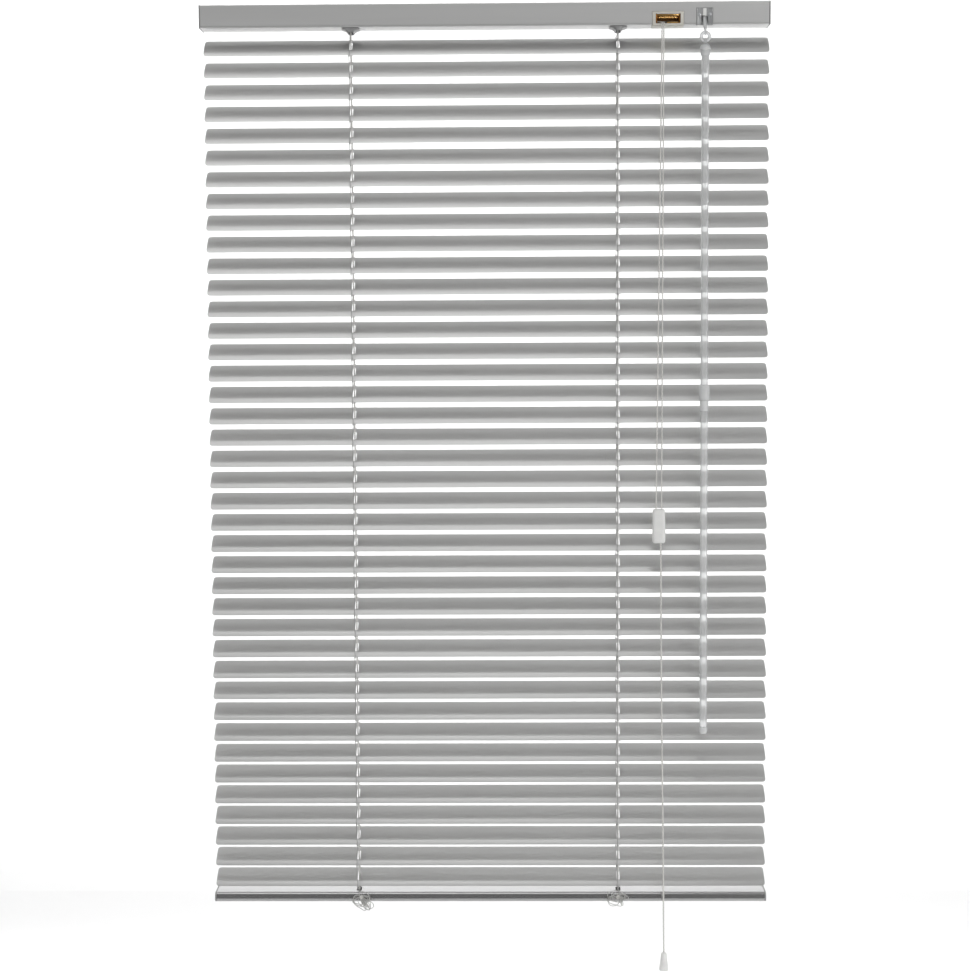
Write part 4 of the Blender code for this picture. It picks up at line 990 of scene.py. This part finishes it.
def make_tilter():
    """The clear gearbox with its nose, its two rivets, and the white web on its front."""
    box = cut_away(
        joined([box_shape((TILTER_LOW.x, RAIL_FRONT + 0.0012, FLOOR_TOP + GAP),
                          (TILTER_HIGH.x, RAIL_BACK - 0.0012, TILTER_HIGH.z), 0.0005)]),
        [
            box_shape((TILTER_LOW.x + 0.0016, RAIL_FRONT + 0.0028, FLOOR_TOP + 0.004),
                      (TILTER_HIGH.x - 0.0016, RAIL_BACK - 0.0028, TILTER_HIGH.z + 0.002)),
            moved(turned(((0.0026, 0.02), (0.0026, -0.02)), 24), (TILTER_X, MIDDLE_Y, ROD_HEIGHT), (1, 0, 0)),
            moved(turned(((0.0032, 0.006), (0.0032, -0.04)), 24), WORM_CENTRE, -WORM_AXIS),
        ],
    )
    nose = cut_away(
        box_shape((TILTER_LOW.x, TILTER_LOW.y, RAIL_FLOOR - 0.0006),
                  (TILTER_HIGH.x, RAIL_FRONT + 0.0011, RAIL_FLOOR + 0.016), 0.0006, 3),
        [
            box_shape((TILTER_X - 0.0034, TILTER_LOW.y - 0.001, RAIL_FLOOR - 0.002),
                      (TILTER_X + 0.0034, RAIL_FRONT + 0.002, RAIL_FLOOR + 0.0085), 0.0004),
        ],
    )
    placed("tilter_case", joined([box, nose]), SMOKED, "headrail", ["tilter_housing"])
    for side in (-1, 1):
        rivet = turned(((0.0004, 0.0006), (0.0010, 0.0005), (0.0014, 0.0002), (0.0015, -0.0004)), 20)
        place = (TILTER_X + side * 0.0052, TILTER_LOW.y - 0.0001, RAIL_FLOOR + 0.0098)
        placed(f"tilter_rivet_{'left' if side < 0 else 'right'}", moved(rivet, place, (0, -1, 0)), ZINC,
               "headrail")
    web = box_shape((TILTER_X - 0.0017, TILTER_LOW.y - 0.0004, RAIL_FLOOR + 0.0085),
                    (TILTER_X + 0.0017, TILTER_LOW.y + 0.0006, RAIL_FLOOR + 0.0156), 0.0005)
    placed("tilter_web", web, WHITE_PLASTIC, "headrail")


def make_worm():
    """The worm's core and thread, its stem, and the eye the wand's ring hangs in."""
    half = 0.0055
    core = moved(turned(((0.0019, half), (0.0020, -half)), 24), WORM_CENTRE, -WORM_AXIS)
    thread = []
    turn = (-WORM_AXIS).to_track_quat("Z", "Y").to_matrix()
    for number in range(73):
        share = number / 72
        angle = 2 * math.pi * 3.5 * share
        local = Vector((0.0020 * math.cos(angle), 0.0020 * math.sin(angle), (share - 0.5) * 1.8 * half))
        thread.append(WORM_CENTRE + turn @ local)
    eye_centre = LINK_TOP - WORM_AXIS * 0.0010
    stem_start = WORM_CENTRE + WORM_AXIS * half
    stem_end = eye_centre - WORM_AXIS * 0.0028
    length = (stem_end - stem_start).length
    stem = turned(((0.0019, 0), (0.0019, -0.6 * length), (0.0016, -0.8 * length), (0.0013, -length)), 20)
    stem = moved(stem, stem_start, -WORM_AXIS)
    eye = ring(eye_centre, (1, 0, 0), 0.0032, 0.0008)
    shapes = [core, tube(thread, 0.0006, 8), stem, eye]
    placed("worm_and_eye", joined(shapes), CLEAR, "tilter_worm", ["tilter_worm"])


def make_tilt_rod():
    """The hexagonal rod with the worm wheel on it."""
    low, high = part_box("tilt_rod")
    rod = moved(turned(((0.00231, (high.x - low.x) / 2), (0.00231, (low.x - high.x) / 2)), 6),
                ((low.x + high.x) / 2, MIDDLE_Y, ROD_HEIGHT), (1, 0, 0))
    placed("rod_bar", rod, ZINC, "tilt_rod", ["tilt_rod"], 20)

    def build(bm):
        rings = []
        for x in (-0.0025, -0.0021, 0.0021, 0.0025):
            circle = []
            for number in range(80):
                angle = 2 * math.pi * number / 80
                lobe = 0.5 + 0.5 * math.tanh(3 * math.cos(10 * angle))
                radius = 0.0036 + 0.0010 * lobe - (0.0002 if abs(x) > 0.0022 else 0)
                circle.append(bm.verts.new((
                    TILTER_X + x, MIDDLE_Y + radius * math.cos(angle), ROD_HEIGHT + radius * math.sin(angle))))
            rings.append(circle)
        for near, far in zip(rings, rings[1:]):
            for number in range(80):
                after = (number + 1) % 80
                bm.faces.new((near[number], far[number], far[after], near[after]))
        bm.faces.new(rings[0])
        bm.faces.new(reversed(rings[-1]))
        bmesh.ops.recalc_face_normals(bm, faces=bm.faces)

    placed("worm_wheel", mesh_of(build), WHITE_PLASTIC, "tilt_rod")


def make_wand():
    """The six-sided clear wand: eye and head, joining sleeve and collar, and the tip."""
    link = ring((LINK_TOP + LINK_BOTTOM) / 2, (0, 1, 0), 0.0040, 0.0016, 48)
    placed("wand_link", link,
           CLEAR, "wand_hook", ["wand_hook"])
    eye_centre = LINK_BOTTOM - Vector((0, 0, WAND_EYE_RADIUS - WAND_EYE_WIRE - LINK_WIRE - GAP))
    top = eye_centre.z - WAND_EYE_RADIUS
    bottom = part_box("wand")[0].z
    foot = (LINK_BOTTOM.x, LINK_BOTTOM.y, 0)
    head = turned((
        (0.0016, top + 0.0004), (0.0030, top), (0.0046, top - 0.0016), (WAND_HEAD_RADIUS, top - 0.0036),
        (WAND_HEAD_RADIUS, top - 0.0050), (0.0049, top - 0.0056), (0.0050, top - 0.0062),
        (0.0046, top - 0.0090), (0.0042, top - WAND_HEAD_LENGTH),
    ), 36)
    rod = softened(turned(((WAND_RADIUS, top - 0.008), (WAND_RADIUS, bottom + 0.004)), 6), 0.0006, 3, 30)
    sleeve_top = FIRST_SLAT_Z - SLEEVE_DROP
    sleeve = turned((
        (0.0041, sleeve_top), (SLEEVE_RADIUS - 0.0003, sleeve_top - 0.0004), (SLEEVE_RADIUS, sleeve_top - 0.0010),
        (SLEEVE_RADIUS, sleeve_top - SLEEVE_LENGTH + 0.0008),
        (SLEEVE_RADIUS - 0.0004, sleeve_top - SLEEVE_LENGTH), (0.0041, sleeve_top - SLEEVE_LENGTH - 0.0002),
    ), 36)
    collar_top = sleeve_top - SLEEVE_LENGTH
    ribs = []
    for number in range(8):
        share = number / 7
        radius = COLLAR_RADIUS - (0.0003 if number % 2 else 0)
        ribs.append((radius, collar_top - 0.0003 - share * (COLLAR_LENGTH - 0.0006)))
    collar = turned(ribs, 36)
    tip = turned((
        (0.0038, bottom + TIP_LENGTH), (TIP_RADIUS, bottom + TIP_LENGTH - 0.0005), (TIP_RADIUS, bottom + 0.0018),
        (0.0036, bottom + 0.0006), (0.0024, bottom),
    ), 36)
    for shape in (head, rod, sleeve, collar, tip):
        moved(shape, foot)
    eye = ring(eye_centre, (1, 0, 0), WAND_EYE_RADIUS, 0.0012)
    placed("wand_rod", rod, CLEAR, "wand", ["wand"], 30)
    placed("wand_head", joined([head, eye]), CLEAR, "wand")
    placed("wand_sleeve", sleeve, FROSTED, "wand")
    placed("wand_collar", collar, FROSTED, "wand")
    placed("wand_tip", tip, FROSTED, "wand")


# ---------------------------------------------------------------- cord lock


def make_cord_lock():
    """The cream case and frame, with the bracket and pins that hold the cords."""
    half = (LOCK_HIGH.x - LOCK_LOW.x) / 2
    low = RAIL_FLOOR - 2 * GAP
    frame_back = RAIL_FRONT + 0.0006
    window = WINDOW_WIDTH / 2
    front = cut_away(
        box_shape((LOCK_X - half, LOCK_Y, low), (LOCK_X + half, frame_back, FRAME_TOP), 0.0005, 3),
        [box_shape((LOCK_X - window, LOCK_Y - 0.002, LOCK_FLOOR_TOP),
                   (LOCK_X + window, frame_back + 0.002, WINDOW_TOP), 0.0012, 3)],
    )
    inner_front = frame_back + 0.0003
    case = cut_away(
        box_shape((LOCK_X - half, inner_front, low), (LOCK_X + half, LOCK_HIGH.y, LOCK_HIGH.z), 0.0004),
        [
            box_shape((LOCK_X - half + 0.0018, inner_front - 0.002, LOCK_FLOOR_TOP),
                      (LOCK_X + half - 0.0018, LOCK_HIGH.y - 0.0018, LOCK_HIGH.z + 0.002)),
            box_shape((LOCK_X - half - 0.002, MIDDLE_Y - 0.0075, LOCK_FLOOR_TOP),
                      (LOCK_X - half + 0.004, MIDDLE_Y + 0.0025, LOCK_FLOOR_TOP + 0.0043), 0.0006),
            moved(turned(((0.0026, 0.03), (0.0026, -0.03)), 24), (LOCK_X, MIDDLE_Y, ROD_HEIGHT), (1, 0, 0)),
        ],
    )
    placed("cord_lock_case", joined([front, case]), CREAM, "headrail", ["cord_lock_housing"])
    sheets = [
        box_shape((LOCK_X - window - 0.0006, LOCK_Y + 0.0030, RAIL_FLOOR + 0.0102),
                  (LOCK_X + window + 0.0006, LOCK_Y + 0.0110, RAIL_FLOOR + 0.0110), 0.0003),
        box_shape((LOCK_X - window - 0.0006, LOCK_Y + 0.0022, LOCK_FLOOR_TOP + 0.0001),
                  (LOCK_X - window + 0.0016, LOCK_Y + 0.0125, RAIL_FLOOR + 0.0112), 0.0003),
        box_shape((LOCK_X + window - 0.0016, LOCK_Y + 0.0022, LOCK_FLOOR_TOP + 0.0001),
                  (LOCK_X + window + 0.0006, LOCK_Y + 0.0125, RAIL_FLOOR + 0.0112), 0.0003),
        box_shape((LOCK_X - window, LOCK_Y + 0.0120, LOCK_FLOOR_TOP + 0.0044),
                  (LOCK_X + window, LOCK_Y + 0.0127, RAIL_FLOOR + 0.0098), 0.0002),
        box_shape((LOCK_X - 0.0005, LOCK_Y + 0.0016, LOCK_FLOOR_TOP + 0.0001),
                  (LOCK_X + window - 0.0012, LOCK_Y + 0.0052, LOCK_FLOOR_TOP + 0.0016), 0.0004),
    ]
    placed("cord_lock_bracket", joined(sheets), BROWN_BRASS, "headrail")
    pins = []
    for y, z, reach, radius in ((0.0028, 0.0098, window + 0.0004, 0.0007), (0.0022, 0.0022, 0.45 * window, 0.0008)):
        pin = turned(((radius * 0.7, reach), (radius, reach - 0.0003), (radius, 0.0003 - reach),
                      (radius * 0.7, -reach)), 16)
        shift = 0.0 if z > 0.005 else 0.0045
        pins.append(moved(pin, (LOCK_X + shift, LOCK_Y + y, RAIL_FLOOR + z), (1, 0, 0)))
    placed("cord_lock_pins", joined(pins), BRIGHT_BRASS, "headrail")


def make_lock_roller():
    """The roller, with ribs around it to grip the cords and a trunnion at each end."""
    low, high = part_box("cord_lock_roller")
    centre = (low + high) / 2

    def build(bm):
        rings = []
        stations = [(-0.0128, 0.0009), (-0.0101, 0.0009), (-0.0100, 0.0022)]
        for number in range(41):
            share = number / 40
            rib = 0.5 - 0.5 * math.cos(2 * math.pi * 8 * share)
            stations.append((-0.0098 + 0.0196 * share, 0.0022 + 0.0006 * rib))
        stations += [(0.0100, 0.0022), (0.0101, 0.0009), (0.0128, 0.0009)]
        for x, radius in stations:
            circle = []
            for number in range(32):
                angle = 2 * math.pi * number / 32
                circle.append(bm.verts.new(centre + Vector((
                    x, radius * math.cos(angle), radius * math.sin(angle)))))
            rings.append(circle)
        for near, far in zip(rings, rings[1:]):
            for number in range(32):
                after = (number + 1) % 32
                bm.faces.new((near[number], far[number], far[after], near[after]))
        bm.faces.new(rings[0])
        bm.faces.new(reversed(rings[-1]))
        bmesh.ops.recalc_face_normals(bm, faces=bm.faces)

    placed("ribbed_roller", mesh_of(build), BRIGHT_BRASS, "lock_roller", ["cord_lock_roller"], 60)


# ---------------------------------------------------------------- bottom rail


def make_bottom_rail():
    """The rolled rail, its moulded caps, and the buttons that close its slot at the ladders."""
    half_y = BOTTOM_DEPTH / 2 - BOTTOM_WALL / 2
    half_z = BOTTOM_HEIGHT / 2 - BOTTOM_WALL / 2
    corner_y, corner_z = half_y - BOTTOM_BEND, half_z - BOTTOM_BEND
    profile = [(-BOTTOM_SLOT / 2, -half_z + 0.001), (-BOTTOM_SLOT / 2 - 0.0004, -half_z)]
    profile += arc((-corner_y, -corner_z), BOTTOM_BEND, 270, 180, 10)
    profile += arc((-corner_y, corner_z), BOTTOM_BEND, 180, 90, 10)
    profile += arc((corner_y, corner_z), BOTTOM_BEND, 90, 0, 10)
    profile += arc((corner_y, -corner_z), BOTTOM_BEND, 0, -90, 10)
    profile += [(BOTTOM_SLOT / 2 + 0.0004, -half_z), (BOTTOM_SLOT / 2, -half_z + 0.001)]
    reach = BOTTOM_LENGTH / 2 - BOTTOM_CAP
    shell = rolled_strip(profile, -reach, reach, BOTTOM_WALL)
    place = Matrix.Translation(BOTTOM_AXIS) @ Matrix.Rotation(BOTTOM_TILT_ANGLE, 4, "X")
    slots = [
        box_shape((x - SLAT_SHIFT - 0.0025, -0.005, 0), (x - SLAT_SHIFT + 0.0025, 0.005, BOTTOM_HEIGHT), 0.0008)
        for x in LADDER_X
    ]
    shell = cut_away(shell, slots)
    shell.transform(place)
    placed("bottom_rail_strip", shell, GLOSS_PAINT, "bottom_rail", ["bottom_rail"], 40)
    for side in (-1, 1):
        outline = []
        for sign_y, sign_z, start in ((1, 1, 0), (-1, 1, 90), (-1, -1, 180), (1, -1, 270)):
            bend = BOTTOM_BEND + BOTTOM_WALL / 2
            outline += arc((sign_y * (BOTTOM_DEPTH / 2 - bend), sign_z * (BOTTOM_HEIGHT / 2 - bend)), bend,
                           start, start + 90, 8)
        cap = softened(plate_shape(outline, BOTTOM_CAP), 0.0005, 3)
        cap.transform(place @ Matrix.Translation((side * (BOTTOM_LENGTH - BOTTOM_CAP) / 2, 0, 0)))
        placed(f"bottom_cap_{'left' if side < 0 else 'right'}", cap, CAP_PAINT, "bottom_rail")
    for side, x in zip(("left", "right"), LADDER_X):
        button = turned(((0.0044, 0.0012), (0.0044, 0.0002), (0.0062, 0.0), (0.0064, -0.0004), (0.0058, -0.0009),
                         (0.0030, -0.0011)), 32)
        button.transform(place @ Matrix.Translation((x - SLAT_SHIFT, 0, -BOTTOM_HEIGHT / 2)))
        placed(f"ladder_button_{side}", button, WHITE_PLASTIC, "bottom_rail")


def plate_shape(outline, thickness):
    """A flat plate across X with the given outline in Y and Z."""

    def build(bm):
        sides = []
        for x in (-thickness / 2, thickness / 2):
            sides.append([bm.verts.new((x, y, z)) for y, z in outline])
        count = len(outline)
        for number in range(count):
            after = (number + 1) % count
            bm.faces.new((sides[0][number], sides[0][after], sides[1][after], sides[1][number]))
        bm.faces.new(sides[0])
        bm.faces.new(reversed(sides[1]))
        bmesh.ops.remove_doubles(bm, verts=bm.verts, dist=0.00001)
        bmesh.ops.recalc_face_normals(bm, faces=bm.faces)

    return mesh_of(build)


# ---------------------------------------------------------------- stage and light


def stage_material(name, colour):
    made, tree, shader, place = new_material(name)
    speckle = mottled(tree, place, 3, 2)
    tree.links.new(two_tones(tree, speckle, [0.99 * c for c in colour], colour), shader.inputs["Base Color"])
    shader.inputs["Roughness"].default_value = 0.9
    return made


def make_stage():
    """A pale floor that sweeps up behind the blind."""
    floor_z = CAD_BOX[0][2] - 0.22
    bend, back, front = 0.9, 1.9, -0.5
    profile = [(front, floor_z), (back - bend, floor_z)]
    profile += arc((back - bend, floor_z + bend), bend, 270, 360, 16)
    profile += [(back, 0.9)]
    bm = bmesh.new()
    ends = []
    for x in (-4.0, 4.0):
        verts = [bm.verts.new((x, y, z)) for y, z in profile]
        ends.append([bm.edges.new(pair) for pair in zip(verts, verts[1:])])
    bmesh.ops.bridge_loops(bm, edges=ends[0] + ends[1])
    bmesh.ops.recalc_face_normals(bm, faces=bm.faces)
    mesh = bpy.data.meshes.new("sweep")
    bm.to_mesh(mesh)
    bm.free()
    new_piece("studio_sweep", mesh, stage_material("pale_sweep", (0.93, 0.93, 0.93)), 60)


def area_light(name, place, target, size, power, colour=(1, 1, 1)):
    data = bpy.data.lights.new(name, "AREA")
    data.shape = "RECTANGLE"
    data.size, data.size_y = size
    data.energy = power
    data.color = colour
    light = bpy.data.objects.new(name, data)
    light.location = place
    light.rotation_euler = (Vector(target) - Vector(place)).to_track_quat("-Z", "Y").to_euler()
    scene.collection.objects.link(light)


def make_lights():
    """A white room that is dimmer towards the viewer, a box above, and lamps at the sides and behind."""
    world = bpy.data.worlds.new("room")
    world.use_nodes = True
    tree = world.node_tree
    heading = add_node(tree, "ShaderNodeTexCoord")
    parts = add_node(tree, "ShaderNodeSeparateXYZ", {0: heading.outputs["Generated"]})
    strength = add_node(tree, "ShaderNodeMapRange", {
        "Value": parts.outputs["Y"], "From Min": -0.9, "From Max": 0.5, "To Min": 0.13, "To Max": 0.80,
    })
    background = tree.nodes["Background"]
    background.inputs["Color"].default_value = (1, 1, 1, 1)
    tree.links.new(strength.outputs["Result"], background.inputs["Strength"])
    scene.world = world
    scene.view_settings.view_transform = "Standard"
    area_light("top_box", (-0.14, -0.42, 0.80), (-0.10, 0, -0.20), (0.95, 0.35), 2.1)
    area_light("right_lamp", (1.15, -1.25, -0.70), (0.05, 0, -0.70), (0.5, 0.4), 9)
    area_light("left_lamp", (-1.10, -1.25, -0.75), (-0.05, 0, -0.75), (0.5, 0.4), 5)
    area_light("side_lamp", (1.3, -2.3, 0.75), (0.1, 0, -0.3), (0.4, 0.4), 7)
    area_light("back_lamp_high", (0, 0.45, 0.50), (0, 1.45, 0.25), (3.0, 0.3), 26)
    area_light("back_lamp_low", (0, 0.40, -1.14), (0, 1.40, -0.95), (3.0, 0.08), 13)


scene = bpy.context.scene
make_camera()
CONNECTOR = make_connector()
TASSEL = make_tassel()
make_lift_cords()
make_pull_cord()
make_slats()
make_rungs()
make_strings()
make_loose_ends()
make_headrail()
make_string_guides()
make_drums()
make_tilter()
make_worm()
make_tilt_rod()
make_wand()
make_cord_lock()
make_lock_roller()
make_bottom_rail()
make_stage()
make_lights()
